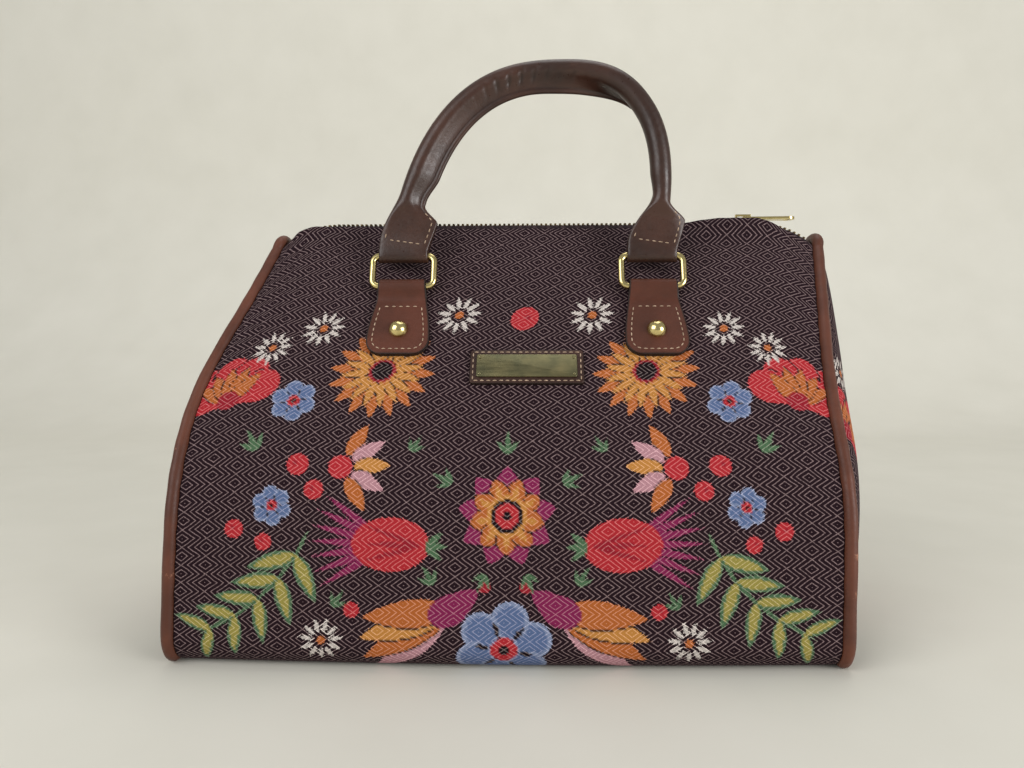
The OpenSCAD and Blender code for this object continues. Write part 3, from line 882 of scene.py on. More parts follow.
@dataclass(frozen=True)
class Mark:
    """One field of colour on the cloth: where it starts, where it points, its size and its yarn."""

    x: float
    y: float
    angle: float
    length: float
    width: float
    colour: str
    shape: MarkShape = MarkShape.LEAF

    def grown(self, by: float, colour: str) -> "Mark":
        """The same field, larger all round and in another yarn."""
        return replace(self, length=self.length + by, width=self.width + 2 * by, colour=colour)

    def depth(self, across: Array, up: Array) -> Array:
        """Measure how far points lie inside the field's edge.

        Args:
            across: Places of the points across the cloth.
            up: Their places up the cloth.

        Returns:
            The distances, negative outside.
        """
        a = math.radians(self.angle)
        along = (across - self.x) * math.cos(a) + (up - self.y) * math.sin(a)
        beside = np.abs((up - self.y) * math.cos(a) - (across - self.x) * math.sin(a))
        if self.shape is MarkShape.DISC:
            reach = np.hypot(along / self.length, beside / self.width)
            return (1 - reach) * min(self.length, self.width)
        share = np.clip(along / self.length, 0, 1)
        leaf = self.shape is MarkShape.LEAF
        swell = np.sin(np.pi * share ** 0.75) ** 0.8 if leaf else (1 - share) ** 0.6
        past = np.minimum(along, self.length - along)
        return np.minimum(self.width / 2 * swell - beside, past)


Marks = list[Mark]


@dataclass(frozen=True)
class FlowerPrint:
    """Folk flowers in a mirrored layout: fields of plain colour on the flat cloth.

    Each kind of flower takes its centre across and up the cloth, its radius and, where it points somewhere,
    its angle. Shares in it are of that radius, and it gives its fields of colour, the topmost last.
    """

    orange: str = "#c97036"
    amber: str = "#d9954a"
    red: str = "#c8323a"
    crimson: str = "#a92433"
    magenta: str = "#93295a"
    pink: str = "#d09aa3"
    blue: str = "#667ba6"
    pale_blue: str = "#93a1c2"
    white: str = "#dfd5cd"
    green: str = "#587a58"
    lime: str = "#aea152"
    dark: str = "#1d0f15"
    bare: float = -3.0

    def petals(self, x: float, y: float, count: int, start: float, length: float, width: float, colour: str,
               gap: float = 0.0, spread: float = 360.0, shape: MarkShape = MarkShape.LEAF) -> Marks:
        """Set petals round a centre.

        Args:
            x: Centre across the cloth.
            y: Centre up the cloth.
            count: Number of petals.
            start: Angle of the first petal.
            length: Length of a petal.
            width: Width of a petal.
            colour: Yarn.
            gap: Distance from the centre to a petal's start.
            spread: Angle that the petals fill.
            shape: Outline of a petal.

        Returns:
            The petals.
        """
        steps = count if spread >= 360 else count - 1
        angles = [start + spread * k / steps for k in range(count)]
        return [Mark(*off(x, y, gap, a), a, length, width, colour, shape) for a in angles]

    def disc(self, x: float, y: float, r: float, colour: str) -> Mark:
        """Set a round field."""
        return Mark(x, y, 0, r, r, colour, MarkShape.DISC)

    def parted(self, marks: Marks, gap: float = 0.7) -> Marks:
        """Set each field off from those under it by a dark line."""
        return [piece for mark in marks for piece in (mark.grown(gap, self.dark), mark)]

    def daisy(self, x: float, y: float, r: float) -> Marks:
        """White rays round an orange heart."""
        rays = self.petals(x, y, 11, 8, 0.66 * r, 0.23 * r, self.white, 0.34 * r)
        return rays + [self.disc(x, y, 0.2 * r, self.orange)]

    def sunflower(self, x: float, y: float, r: float) -> Marks:
        """Two rows of pointed orange petals round a dark eye."""
        back = self.petals(x, y, 16, 4, r, 0.46 * r, self.orange, shape=MarkShape.BLADE)
        front = self.parted(self.petals(x, y, 16, 15, 0.55 * r, 0.15 * r, self.amber, 0.24 * r), 0.45)
        return back + front + [self.disc(x, y, 0.25 * r, self.crimson), self.disc(x, y, 0.2 * r, self.dark)]

    def blossom(self, x: float, y: float, r: float) -> Marks:
        """Six round blue petals round a red heart."""
        marks: Marks = []
        for k in range(6):
            a = 20 + 60 * k
            marks.append(self.disc(*off(x, y, 0.6 * r, a), 0.38 * r, self.pale_blue))
            marks.append(self.disc(*off(x, y, 0.58 * r, a), 0.3 * r, self.blue))
        marks += self.petals(x, y, 6, 50, 0.3 * r, 0.1 * r, self.dark, 0.3 * r)
        return marks + [self.disc(x, y, 0.26 * r, self.red), self.disc(x, y, 0.1 * r, self.dark)]

    def berry(self, x: float, y: float, r: float) -> Marks:
        """A red berry with a dark mark on it."""
        return [self.disc(x, y, r, self.red), self.disc(x + 0.2 * r, y + 0.1 * r, 0.22 * r, self.crimson)]

    def fan(self, x: float, y: float, r: float, angle: float) -> Marks:
        """An open fan of pink and orange petals on a red cup."""
        marks: Marks = []
        for k, colour in enumerate((self.orange, self.pink, self.amber, self.pink, self.orange)):
            marks += self.petals(x, y, 1, angle - 60 + 30 * k, 0.8 * r, 0.34 * r, colour, 0.28 * r)
        return self.parted(marks, 0.45) + [self.disc(x, y, 0.26 * r, self.red)]

    def tulip(self, x: float, y: float, r: float, angle: float) -> Marks:
        """A full red cup with a crown of thin magenta blades."""
        crown = self.petals(x, y, 7, angle - 33, 1.75 * r, 0.2 * r, self.magenta, 0.35 * r, spread=66)
        cup = [Mark(x, y, angle, r, 0.68 * r, self.red, MarkShape.DISC)]
        folds = [Mark(*off(x, y, -0.75 * r, angle), angle + t, 1.5 * r, 0.12 * r, self.crimson)
                 for t in (-17, 0, 17)]
        foot = [Mark(*off(x, y, -0.9 * r, angle), angle + 180 + t, 0.55 * r, 0.2 * r, self.green)
                for t in (-40, 0, 40)]
        return crown + cup + folds + foot

    def rosette(self, x: float, y: float, r: float) -> Marks:
        """Rings of magenta, orange and red, the largest flower."""
        outer = self.petals(x, y, 9, 10, 0.62 * r, 0.5 * r, self.magenta, 0.4 * r)
        middle = self.parted(self.petals(x, y, 9, 30, 0.52 * r, 0.42 * r, self.orange, 0.26 * r), 0.5)
        inner = self.petals(x, y, 9, 30, 0.3 * r, 0.13 * r, self.amber, 0.36 * r)
        heart = [self.disc(x, y, 0.42 * r, self.amber), self.disc(x, y, 0.34 * r, self.dark),
                 self.disc(x, y, 0.25 * r, self.red), self.disc(x, y, 0.09 * r, self.dark)]
        return outer + middle + inner + heart

    def spray(self, x: float, y: float, angle: float, length: float, pairs: int = 5) -> Marks:
        """A bent stem of some length, from its foot, with pairs of two-tone leaves."""
        marks: Marks = []
        step = length / pairs
        for k in range(pairs):
            a = angle + 9 * k
            marks.append(Mark(x, y, a, 1.5 * step, 1.9, self.green))
            x, y = off(x, y, step, a)
            for lift in (-52, 50):
                leaf = 0.36 * length * (1 - 0.06 * k)
                marks.append(Mark(x, y, a + lift, leaf, 0.36 * leaf, self.green))
                marks.append(Mark(x, y, a + lift, 0.86 * leaf, 0.21 * leaf, self.lime))
        return marks

    def lily(self, x: float, y: float, r: float, angle: float) -> Marks:
        """A magenta cap with long orange petals that sweep out of it."""
        sweep: Marks = []
        for k, colour in enumerate((self.pink, self.orange, self.amber, self.orange)):
            sweep.append(Mark(x, y, angle - 20 + 13 * k, r * (1.0 - 0.06 * k), 0.27 * r, colour))
        sweep = self.parted(sweep)
        back = angle + 170
        cap = [Mark(x, y, angle, 0.2 * r, 0.15 * r, self.magenta, MarkShape.DISC),
               Mark(x, y, back, 0.34 * r, 0.22 * r, self.magenta),
               self.disc(*off(x, y, 0.4 * r, back), 0.06 * r, self.crimson)]
        return sweep + cap

    def poppy(self, x: float, y: float, r: float, angle: float) -> Marks:
        """A half-open poppy in crimson and orange."""
        lobes = self.petals(x, y, 5, angle - 70, 0.42 * r, 0.34 * r, self.red, 0.56 * r, 140, MarkShape.DISC)
        outer = self.petals(x, y, 5, angle - 70, 0.7 * r, 0.44 * r, self.red, spread=140)
        inner = self.petals(x, y, 5, angle - 50, 0.72 * r, 0.28 * r, self.orange, spread=100)
        heart = self.disc(x, y, 0.2 * r, self.crimson)
        return self.parted(lobes, 0.4) + outer + self.parted(inner, 0.45) + [heart]

    def sprig(self, x: float, y: float, r: float, angle: float) -> Marks:
        """Three thin green leaves."""
        leaves = ((-38, 0.75), (0, 1.0), (38, 0.75))
        return [Mark(x, y, angle + turn, share * r, 0.24 * r, self.green) for turn, share in leaves]

    def half(self) -> Marks:
        """The right half of a long wall's layout, from the fold up."""
        return (self.lily(24, 44, 46, -24) + self.daisy(79, 30.5, 10) + self.spray(86, 78, -64, 62)
                + self.tulip(50, 72, 17, 2) + self.sprig(31, 55, 10, 60) + self.sprig(74, 45, 9, 120)
                + self.sprig(24, 98, 10, 25) + self.blossom(103, 88, 9) + self.berry(85, 95, 4.4)
                + self.berry(119, 78, 4.2) + self.berry(66, 44, 3.6) + self.berry(106, 72.5, 3.8)
                + self.fan(74, 105, 21, 178) + self.sprig(43, 112, 9, 120) + self.sprig(112, 112, 12, 60)
                + self.blossom(100, 137, 11) + self.berry(93, 106, 5) + self.sunflower(62, 153, 25)
                + self.poppy(131, 138, 25, 80) + self.daisy(98, 177, 10.5) + self.daisy(119, 166, 9.5)
                + self.daisy(33, 185, 11.5))

    def middle(self) -> Marks:
        """What stands on the wall's centre line."""
        marks = self.blossom(0, 27, 22) + self.rosette(0, 84, 21)
        marks += self.sprig(0, 111, 11, 90) + self.sprig(-9, 60, 9, 250) + self.sprig(9, 60, 9, 290)
        return marks + self.berry(0, 183, 7)

    def mirrored(self, half: Marks) -> Marks:
        """Fields of the right half, and the same in the left half."""
        return half + [replace(mark, x=-mark.x, angle=180 - mark.angle) for mark in half]

    def wall(self) -> Marks:
        """The whole layout of a long wall."""
        return self.mirrored(self.half()) + self.middle()

    def end(self) -> Marks:
        """The layout of an end panel."""
        half = self.poppy(66, 104, 24, 160) + self.blossom(38, 70, 12) + self.daisy(44, 130, 10)
        half += self.spray(40, 30, 16, 44) + self.berry(62, 62, 4.5) + self.lily(12, 26, 30, -35)
        middle = self.sunflower(0, 108, 24) + self.tulip(0, 56, 16, 90) + self.berry(0, 150, 6)
        return self.mirrored(half) + middle

    def weave(self, marks: Marks, places: Array) -> tuple[Array, Array]:
        """Work out cover and colour at places on the cloth.

        Args:
            marks: The fields of colour, the later ones on top.
            places: Places on the flat cloth.

        Returns:
            How far each place lies inside a flower, and its colour.
        """
        cover = np.full(len(places), self.bare)
        colour = np.tile(np.array(linear(self.dark)), (len(places), 1))
        for mark in marks:
            size = mark.length + mark.width + 2
            near = np.flatnonzero(np.all(np.abs(places - [mark.x, mark.y]) < size, axis=1))
            depth = mark.depth(places[near, 0], places[near, 1])
            if mark.colour == self.dark:
                colour[near[(depth > 0) & (cover[near] > 0)]] = linear(self.dark)
                continue
            on_top = (depth > 0) | (depth > cover[near])
            chosen = near[on_top & (depth > self.bare)]
            colour[chosen] = linear(mark.colour)
            cover[near] = np.maximum(cover[near], depth)
        return cover, colour


@dataclass
class WovenBody:
    """The five woven panels: front, rear, base and two swollen ends."""

    form: BagForm
    finishes: Finishes
    flowers: FlowerPrint = field(default_factory=FlowerPrint)
    front_step: float = 0.9
    rear_step: float = 1.15
    end_step: float = 1.5
    base_step: float = 3.0
    coarse: int = 4
    wave: float = 0.48
    wave_from: Span = (34.0, 70.0)
    wave_to: Span = (112.0, 142.0)
    pucker: float = 0.25
    pucker_from: Span = (30.0, 50.0)
    pucker_reach: float = 6.5
    ripple: float = 0.12
    ripple_reach: float = 3.0
    fold: float = 0.6
    left_bulge: float = 18.0
    right_bulge: float = 24.0
    end_peak: float = 2.0
    left_lip: float = 1.4
    left_lip_from: Span = (0.5, 0.75)
    corner_lip: float = 3.2
    corner_from: Span = (0.8, 0.94)
    corner_to: Span = (0.95, 1.0)
    right_lip: float = 5.4
    right_lip_from: Span = (0.35, 0.68)
    right_lip_to: Span = (0.77, 0.96)
    lip_lean: float = 3.0
    lip_from: float = 12.0
    hem_t: float = 0.6

    def build(self) -> None:
        """Make and dress every panel."""
        self.wall("front_woven_wall", Side.FRONT, self.front_step, "front_panel")
        self.wall("rear_woven_wall", Side.REAR, self.rear_step, "rear_panel")
        self.end("left_woven_end", -1, self.left_bulge, "left_end_panel")
        self.end("right_woven_end", 1, self.right_bulge, "right_end_panel")
        self.base()

    def rounded_count(self, length: float, step: float) -> int:
        """Count of points along a length, one more than a multiple of the coarse step."""
        return self.coarse * max(1, round(length / step / self.coarse)) + 1

    def dress(self, name: str, outer: Grid, inner: Grid, places: Grid, marks: Marks, node: str) -> None:
        """Close a panel, weave its flowers and put it on the bag.

        Args:
            name: The panel's name.
            outer: Its fine outer grid.
            inner: Its coarse inner grid.
            places: The outer grid's places on the flat cloth.
            marks: The flowers on it.
            node: The solid that it stands for.
        """
        points, faces = shell(outer, inner)
        panel = make_piece(name, points, faces)
        flat = places.reshape(-1, 2)
        back = places[::self.coarse, ::self.coarse].reshape(-1, 2)
        cover, colour = self.flowers.weave(marks, flat)
        bare = np.full(len(back), cover.min())
        keep_values(panel, "flower_cover", np.concatenate([cover, bare]))
        keep_values(panel, "flower_colour", np.vstack([colour, np.tile(colour[:1], (len(back), 1))]))
        keep_cloth_map(panel, np.vstack([flat, back]))
        finish_piece(panel, self.finishes.jacquard, Body.BAG, Slot.FABRIC, [node])

    def wall(self, name: str, side: Side, step: float, node: str) -> None:
        """Make a long wall from the base seam to the hem.

        Args:
            name: The wall's name.
            side: The face of the bag.
            step: Spacing of its outer points.
            node: The solid that it stands for.
        """
        form = self.form
        line = form.profile(0.5)
        run = run_along(line)
        marks_up = np.linspace(0, run[-1], self.rounded_count(run[-1], step))
        path = points_at(line, run, marks_up)
        half = form.half_w - form.edge_in
        u = np.linspace(-1, 1, self.rounded_count(2 * half, step))[:, None]
        s = marks_up[None, :]
        out = path - inset(path, 1)
        lift = self.softness(u * half, s, run[-1], half)
        rise = self.lip(u) * ease(s, run[-1] - self.lip_from, run[-1])
        lean_in = form.lean_rate * np.minimum(rise, self.lip_lean)
        d = path[:, 0] + lift * out[:, 0] - lean_in
        z = np.maximum(path[:, 1] + lift * out[:, 1], 0) + rise
        outer = form.place(u, side.value * d, z)
        k = self.coarse
        wall_t = form.wall_t + (self.hem_t - form.wall_t) * ease(s, run[-1] - self.lip_from / 2, run[-1])
        d = (path[:, 0] - wall_t * out[:, 0] - lean_in)[::k, ::k]
        z = (path[:, 1] - wall_t * out[:, 1] + rise)[::k, ::k]
        inner = form.place(u[::k], side.value * d, z)
        self.dress(name, outer, inner, stacked(u * half, s), self.flowers.wall(), node)

    def lip(self, u: Array) -> Array:
        """How far the soft hem stands above the level of the zip, near both ends of the mouth."""
        right = self.right_lip * ease(u, *self.right_lip_from) * (1 - ease(u, *self.right_lip_to))
        left = self.left_lip * ease(-u, *self.left_lip_from) + self.corner_lip * ease(-u, *self.corner_from)
        return right + left * (1 - ease(-u, *self.corner_to))

    def softness(self, x: Array, s: Array, top: float, half: float) -> Array:
        """Measure how far soft cloth stands off its plain form.

        Args:
            x: Place along the wall.
            s: Place up the cloth.
            top: Place of the hem.
            half: Place of the end seams.

        Returns:
            Low waves, puckers along the end seams and a ripple in the hem.
        """
        loose = ease(s, *self.wave_from) * (1 - ease(s, *self.wave_to))
        waves = np.sin(x / 19 + 1.1) * np.sin(s / 17 + 0.4) + 0.7 * np.sin(x / 11.3 - s / 31 + 2.0)
        seam = np.exp(-(half - np.abs(x)) / self.pucker_reach) * ease(s, *self.pucker_from)
        gathers = np.sin(s / 1.9 + 0.7 * np.sin(s / 7.1)) * seam
        hem = np.exp(-(top - s) / self.ripple_reach) * np.sin(x / 1.6)
        return self.wave * loose * waves + self.pucker * gathers + self.ripple * hem

    def end(self, name: str, side: int, bulge: float, node: str) -> None:
        """Make an end panel that swells out between its piping.

        Args:
            name: The panel's name.
            side: -1 for the left end, 1 for the right one.
            bulge: How far it swells.
            node: The solid that it stands for.
        """
        form = self.form
        rim = inset(form.profile(0.5), form.piping_d - form.piping_proud + form.sewn_gap)
        tip = Piping(form, self.finishes).rise()[-1]
        low = form.piping_d + form.sewn_gap
        high = tip[1] + form.end_round * tip[0] - form.piping_d / 2 - form.sewn_gap
        rim = np.vstack([rim[rim[:, 1] > low], [[self.end_peak / 2, high]]])
        z = np.linspace(low, high, self.rounded_count(high - low, self.end_step))
        d = np.interp(z, rim[:, 1], rim[:, 0])[:, None]
        count = self.rounded_count(2 * form.half_d, self.end_step)
        c = np.sin(np.linspace(-np.pi / 2, np.pi / 2, count))[None, :]
        z = z[:, None]
        up = (z - low) / (high - low)
        swollen = bulge * (1 - c * c) ** 0.65 * np.abs(np.sin(np.pi * up ** 0.8)) ** 0.7
        folds = self.fold * np.sin(z / 9 + c * 4) * np.sin(c * 9 + 0.5) * (1 - c ** 2) * np.sin(np.pi * up)
        outer = form.place_end(side, d * c, z, swollen + folds + form.wall_t / 2)
        k = self.coarse
        inner = form.place_end(side, (d * c)[::k, ::k], z[::k], swollen[::k, ::k] - form.wall_t / 2)
        self.dress(name, outer, inner, stacked(d * c, z), self.flowers.end(), node)

    def base(self) -> None:
        """Make the flat base panel between the two walls' seams."""
        form = self.form
        seam = form.half_d - form.base_r - form.seam_in
        u = np.linspace(-1, 1, self.rounded_count(2 * form.half_w, self.base_step))[:, None]
        v = np.linspace(-1, 1, self.rounded_count(2 * seam, self.base_step))[None, :]
        outer = form.place(u, seam * v, np.zeros_like(u * v))
        inner = outer[::self.coarse, ::self.coarse] + [0, 0, form.wall_t]
        places = stacked(u * form.half_w, seam * v)
        self.dress("base_woven_panel", outer, inner, places, [], "base_panel")


@dataclass
class Piping:
    """Leather-covered cord sewn into the seam round each end panel."""

    form: BagForm
    finishes: Finishes
    step: float = 1.5
    sides: int = 16
    first: int = 4
    lump: float = 0.025

    def rise(self) -> Array:
        """The cord's path up one wall, as half depth and height."""
        form = self.form
        r = form.piping_d / 2
        line = inset(form.profile(1.0), r - form.piping_proud)[self.first:]
        return stacked(line[:, 0], np.maximum(line[:, 1], r))

    def loop(self) -> Array:
        """The cord's closed path round an end."""
        r = self.form.piping_d / 2
        up = self.rise()
        tip = up[-1]
        a = np.radians(np.linspace(0, 180, 16)[1:-1])
        top = stacked(tip[0] * np.cos(a), tip[1] + self.form.end_round * tip[0] * np.sin(a))
        down = up[::-1] * [-1, 1]
        base = stacked(np.linspace(-up[0, 0], up[0, 0], 40)[1:], r)
        return spaced(np.vstack([up, top, down, base]), self.step)[:-1]

    def build(self) -> None:
        """Make and dress both cords."""
        for side, name in ((-1, "left"), (1, "right")):
            path = self.loop()
            along = np.roll(path, -1, axis=0) - np.roll(path, 1, axis=0)
            along /= np.linalg.norm(along, axis=1, keepdims=True)
            out = stacked(along[:, 1], -along[:, 0])
            centre = self.form.place_end(side, path[:, 0], path[:, 1], 0.0)
            a = 2 * np.pi * np.arange(self.sides) / self.sides
            run = np.arange(len(path)) * self.step
            lumps = 1 - self.lump * (1 + np.sin(run / 3.1 + 2 * np.sin(run / 17)))
            r = (self.form.piping_d / 2 * lumps)[:, None]
            spoke = stacked(r * np.cos(a), -r * np.sin(a) * out[:, :1], r * np.sin(a) * out[:, 1:])
            cord = make_piece(f"{name}_leather_piping", *tube(centre[:, None, :] + spoke, loop=True))
            finish_piece(cord, self.finishes.cord, Body.BAG, Slot.LEATHER, [f"{name}_piping"])


@dataclass
class Stitching:
    """Runs of waxed thread, each stitch a short bowed spindle that dips into the leather."""

    finishes: Finishes
    pitch: float = 3.0
    length: float = 2.15
    radius: float = 0.3
    sides: int = 6
    rings: int = 5
    sunk: float = 0.75
    thin_end: float = 0.55

    def spindle(self, start: Array, end: Array, out: Array) -> Solid:
        """Make one stitch.

        Args:
            start: Where it comes out of the leather.
            end: Where it goes in again.
            out: The way out of the leather.

        Returns:
            Its points and faces.
        """
        t = np.linspace(0, 1, self.rings)[:, None]
        along = (end - start) / np.linalg.norm(end - start)
        beside = np.cross(out, along)
        bow = np.sin(np.pi * t)
        centre = start + (end - start) * t + out * self.radius * (bow - self.sunk)
        a = 2 * np.pi * np.arange(self.sides) / self.sides
        r = self.radius * (self.thin_end + (1 - self.thin_end) * bow)[:, :, None]
        spoke = r * (np.cos(a)[None, :, None] * beside + np.sin(a)[None, :, None] * out)
        return tube(centre[:, None, :] + spoke)

    def runs(self, name: str, paths: Iterable[tuple[Array, Array]], body: Body) -> None:
        """Sew along paths.

        Args:
            name: Name of the thread's piece.
            paths: Pairs of points on a surface and the way out of it there.
            body: The body that the thread rides on.
        """
        parts = []
        for points, out in paths:
            run = run_along(points)
            count = max(1, int(run[-1] / self.pitch))
            for k in range(count):
                middle = (k + 0.5) * run[-1] / count
                a, b = points_at(points, run, [middle - self.length / 2, middle + self.length / 2])
                way = points_at(out, run, [middle])[0]
                parts.append(self.spindle(a, b, way / np.linalg.norm(way)))
        thread = make_piece(name, *merged(parts))
        finish_piece(thread, self.finishes.thread, body, Slot.LEATHER)


@dataclass(frozen=True)
class Hardware:
    """Where the tabs, rings, rivets and plate stand, and the sizes that they share."""

    spacing: float = 123.0
    middle_x: float = 9.5
    tab_z: float = 166.5
    tab_w: float = 23.0
    strap_w: float = 24.5
    ring_wire: float = 3.4
    ring_play: float = 2.5
    ring_reach: float = 16.0
    ring_corner: float = 3.5
    turn_gap: float = 0.3
    loop_t: float = 1.5
    ring_up: float = 18.0
    handle_up: float = 6.0
    ring_off_wall: float = 25.0

    @property
    def bore_r(self) -> float:
        """Radius of the room round a ring's bar."""
        return self.ring_wire / 2 + self.turn_gap

    @property
    def loop_r(self) -> float:
        """Outer radius of the leather round a ring's bar."""
        return self.bore_r + self.loop_t

    def places(self) -> tuple[tuple[str, float], tuple[str, float]]:
        """The two tabs of a side, by name and sideways place."""
        return ("left", self.middle_x - self.spacing / 2), ("right", self.middle_x + self.spacing / 2)

    def angles(self, form: BagForm, side: Side) -> tuple[float, float]:
        """Angles of ring and handle from upright, positive towards the mouth."""
        if side is Side.FRONT:
            return self.ring_up, self.handle_up
        hanging = math.degrees(form.lean(self.tab_z)) - 180
        return hanging + self.ring_off_wall, hanging

    def pivot(self, form: BagForm) -> tuple[float, float]:
        """Depth and height of the front rings' lower bars."""
        a = form.lean(self.tab_z)
        out = form.seat_gap + self.loop_r
        return -float(form.reach(self.tab_z)) - math.cos(a) * out, self.tab_z + math.sin(a) * out

    def swung(self, form: BagForm, side: Side, x: float, bar: bool) -> Placer:
        """Give the map from an upright ring or handle to the bag.

        Args:
            form: The bag.
            side: The face of the bag.
            x: Sideways place.
            bar: True for what turns on the upper bar, a handle, and False for a ring.

        Returns:
            A function of points: across, through and up from the bar.
        """
        ring, handle = (math.radians(a) for a in self.angles(form, side))
        y, z = self.pivot(form)
        if bar:
            y, z = y + self.ring_reach * math.sin(ring), z + self.ring_reach * math.cos(ring)
        a = handle if bar else ring
        axes = np.array([[1, 0, 0], [0, math.cos(a), -math.sin(a)], [0, math.sin(a), math.cos(a)]])
        flip = np.array([1, side.value, 1])
        return lambda points: (np.array([x, y, z]) + np.asarray(points, float) @ axes) * flip


def on_patch(at: Placer, path: Array) -> tuple[Array, Array]:
    """A path on a flat patch of wall, put on the bag, and the way out of the wall all along it."""
    points = at(path)
    return points, at(path + [0, 0, 1]) - points


@dataclass
class TabSet:
    """Four leather tabs, each a strap folded round a ring's lower bar, stitched flat and riveted."""

    form: BagForm
    hardware: Hardware
    finishes: Finishes
    length: float = 39.0
    foot_w: float = 30.0
    corner: float = 8.0
    layer_t: float = 1.2
    thread_in: float = 2.8
    thread_top: float = -11.5
    cross_in: float = 1.5
    columns: int = 33
    rivet_d: float = 9.5
    rivet_h: float = 4.0
    rivet_drop: float = 25.0
    rivet_foot: Span = (0.35, 0.3)
    shank_d: float = 3.0
    shank_l: float = 2.2
    bend_from: float = -9.0
    bend_pulls: Span = (-5.5, -3.6)
    bend_rise: float = 0.62
    turn_from: float = 118.0
    thin_edge: float = 0.7
    soft_edge: float = 0.6
    painted_edge: Span = (0.25, 0.9)

    def half_width(self, y: Array) -> Array:
        """Half the tab's width at a height in its own frame."""
        top, foot = self.hardware.loop_r, self.corner - self.length
        share = np.clip((top - y) / (top - foot), 0, 1)
        flare = (self.foot_w - self.hardware.tab_w) * (1 - np.cos(np.pi * share)) / 2
        plain = (self.hardware.tab_w + flare) / 2
        below = np.clip(foot - y, 0, self.corner)
        return plain - self.corner + np.sqrt(self.corner ** 2 - below ** 2)

    def fold_line(self) -> Array:
        """The strap's middle line: up the front, round the bar and down the back."""
        front, back = 1.5 * self.layer_t + self.form.seat_gap, 0.5 * self.layer_t + self.form.seat_gap
        r = self.hardware.loop_r - self.layer_t / 2
        centre = self.hardware.loop_r + self.form.seat_gap
        foot = np.linspace(0, 1, 9)
        low = -self.length + self.corner * (1 - np.cos(foot * np.pi / 2))
        a = np.radians(np.linspace(self.turn_from, -90, 24))
        turn = stacked(r * np.cos(a), centre + r * np.sin(a))
        flat_y = np.linspace(low[-1], self.bend_from, 14)[1:]
        t = np.linspace(0, 1, 8)[1:-1][:, None]
        start, first = np.array([self.bend_from, front]), np.array([self.bend_pulls[0], front])
        second = np.array([self.bend_pulls[1], centre + r * self.bend_rise])
        bend = (start * (1 - t) ** 3 + 3 * first * t * (1 - t) ** 2 + 3 * second * t * t * (1 - t)
                + turn[0] * t ** 3)
        back_y = np.concatenate([np.linspace(0, low[-1], 10)[1:], low[-2::-1]])
        return np.vstack([stacked(low, front), stacked(flat_y, front), bend, turn, stacked(back_y, back)])

    def strap(self) -> tuple[Array, Faces, Array]:
        """Make one tab in its own frame.

        Returns:
            Its points, its faces and how much edge paint is on each point.
        """
        line = self.fold_line()
        along = directions(line)
        out = stacked(-along[:, 1], along[:, 0])
        v = np.sin(np.linspace(-np.pi / 2, np.pi / 2, self.columns))
        half = self.half_width(line[:, 0])[:, None]
        x = half * v
        edge = np.minimum(half * (1 - np.abs(v)), (line[:, 0] + self.length)[:, None])
        round_off = np.sqrt(np.clip(edge / self.soft_edge, 0, 1))
        thick = self.layer_t / 2 * (self.thin_edge + (1 - self.thin_edge) * round_off)
        skins = [stacked(x, line[:, :1] + s * thick * out[:, :1], line[:, 1:] + s * thick * out[:, 1:])
                 for s in (1, -1)]
        paint = np.tile((1 - ease(edge, *self.painted_edge)).ravel(), 2)
        return *shell(*skins), paint

    def thread_paths(self) -> list[Array]:
        """The stitched line: across under the fold, and down, round and up along the edge."""
        inner_r = self.corner - self.thread_in
        foot = self.corner - self.length
        cross = float(self.half_width(np.array(self.thread_top))) - self.thread_in - self.cross_in
        y = np.linspace(self.thread_top, foot, 16)
        right = stacked(self.half_width(y) - self.thread_in, y)
        a = np.radians(np.linspace(0, -90, 8))[1:]
        centre = self.foot_w / 2 - self.corner
        corner = stacked(centre + inner_r * np.cos(a), foot + inner_r * np.sin(a))
        one = np.vstack([right, corner])
        u_line = np.vstack([one, one[::-1] * [-1, 1]])
        across = stacked(np.linspace(-cross, cross, 12), self.thread_top)
        face = 2 * self.layer_t + self.form.seat_gap
        return [stacked(*path.T, face) for path in (u_line, across)]

    def build(self) -> None:
        """Make and dress the tabs, their thread and their rivets."""
        sewing = Stitching(self.finishes)
        dome = self.dome()
        points, faces, paint = self.strap()
        for side in Side:
            rivets = []
            for name, x in self.hardware.places():
                at = self.form.on_wall(x, self.hardware.tab_z, side)
                label = f"{side.label}_{name}"
                tab = make_piece(f"{label}_leather_tab", at(points), faces)
                keep_values(tab, "edge_paint_and_crease_shade", paint)
                finish_piece(tab, self.finishes.strap, Body.BAG, Slot.LEATHER, [f"{label}_tab"])
                lines = [on_patch(at, path) for path in self.thread_paths()]
                sewing.runs(f"{label}_tab_thread", lines, Body.BAG)
                rivets.append(self.set_dome(dome, f"{label}_rivet", at))
            pair = joined(f"{side.label}_dome_rivets", rivets)
            finish_piece(pair, self.finishes.brass, Body.BAG, Slot.BRASS, [f"{side.label}_rivets"])
        bpy.data.objects.remove(dome)

    def dome(self) -> Thing:
        """Model one rivet head: the cap of a ball with a short foot and a shank under it."""
        r, h = self.rivet_d / 2, self.rivet_h
        ball = (r * r + h * h) / (2 * h)
        deselect()
        bpy.ops.mesh.primitive_uv_sphere_add(segments=40, ring_count=40, radius=ball * MM,
                                             location=(0, 0, (h - ball) * MM))
        head = bpy.context.object
        bpy.ops.object.transform_apply()
        edit_all()
        top, drop = self.rivet_foot
        bpy.ops.mesh.bisect(plane_co=(0, 0, top * MM), plane_no=(0, 0, 1), use_fill=True, clear_inner=True)
        draw_out(0, 0, -drop)
        bpy.ops.mesh.inset(thickness=(r - self.shank_d / 2) * MM)
        draw_out(0, 0, -self.shank_l)
        bpy.ops.mesh.select_all(action="SELECT")
        bpy.ops.mesh.normals_make_consistent(inside=False)
        shade(40)
        return head

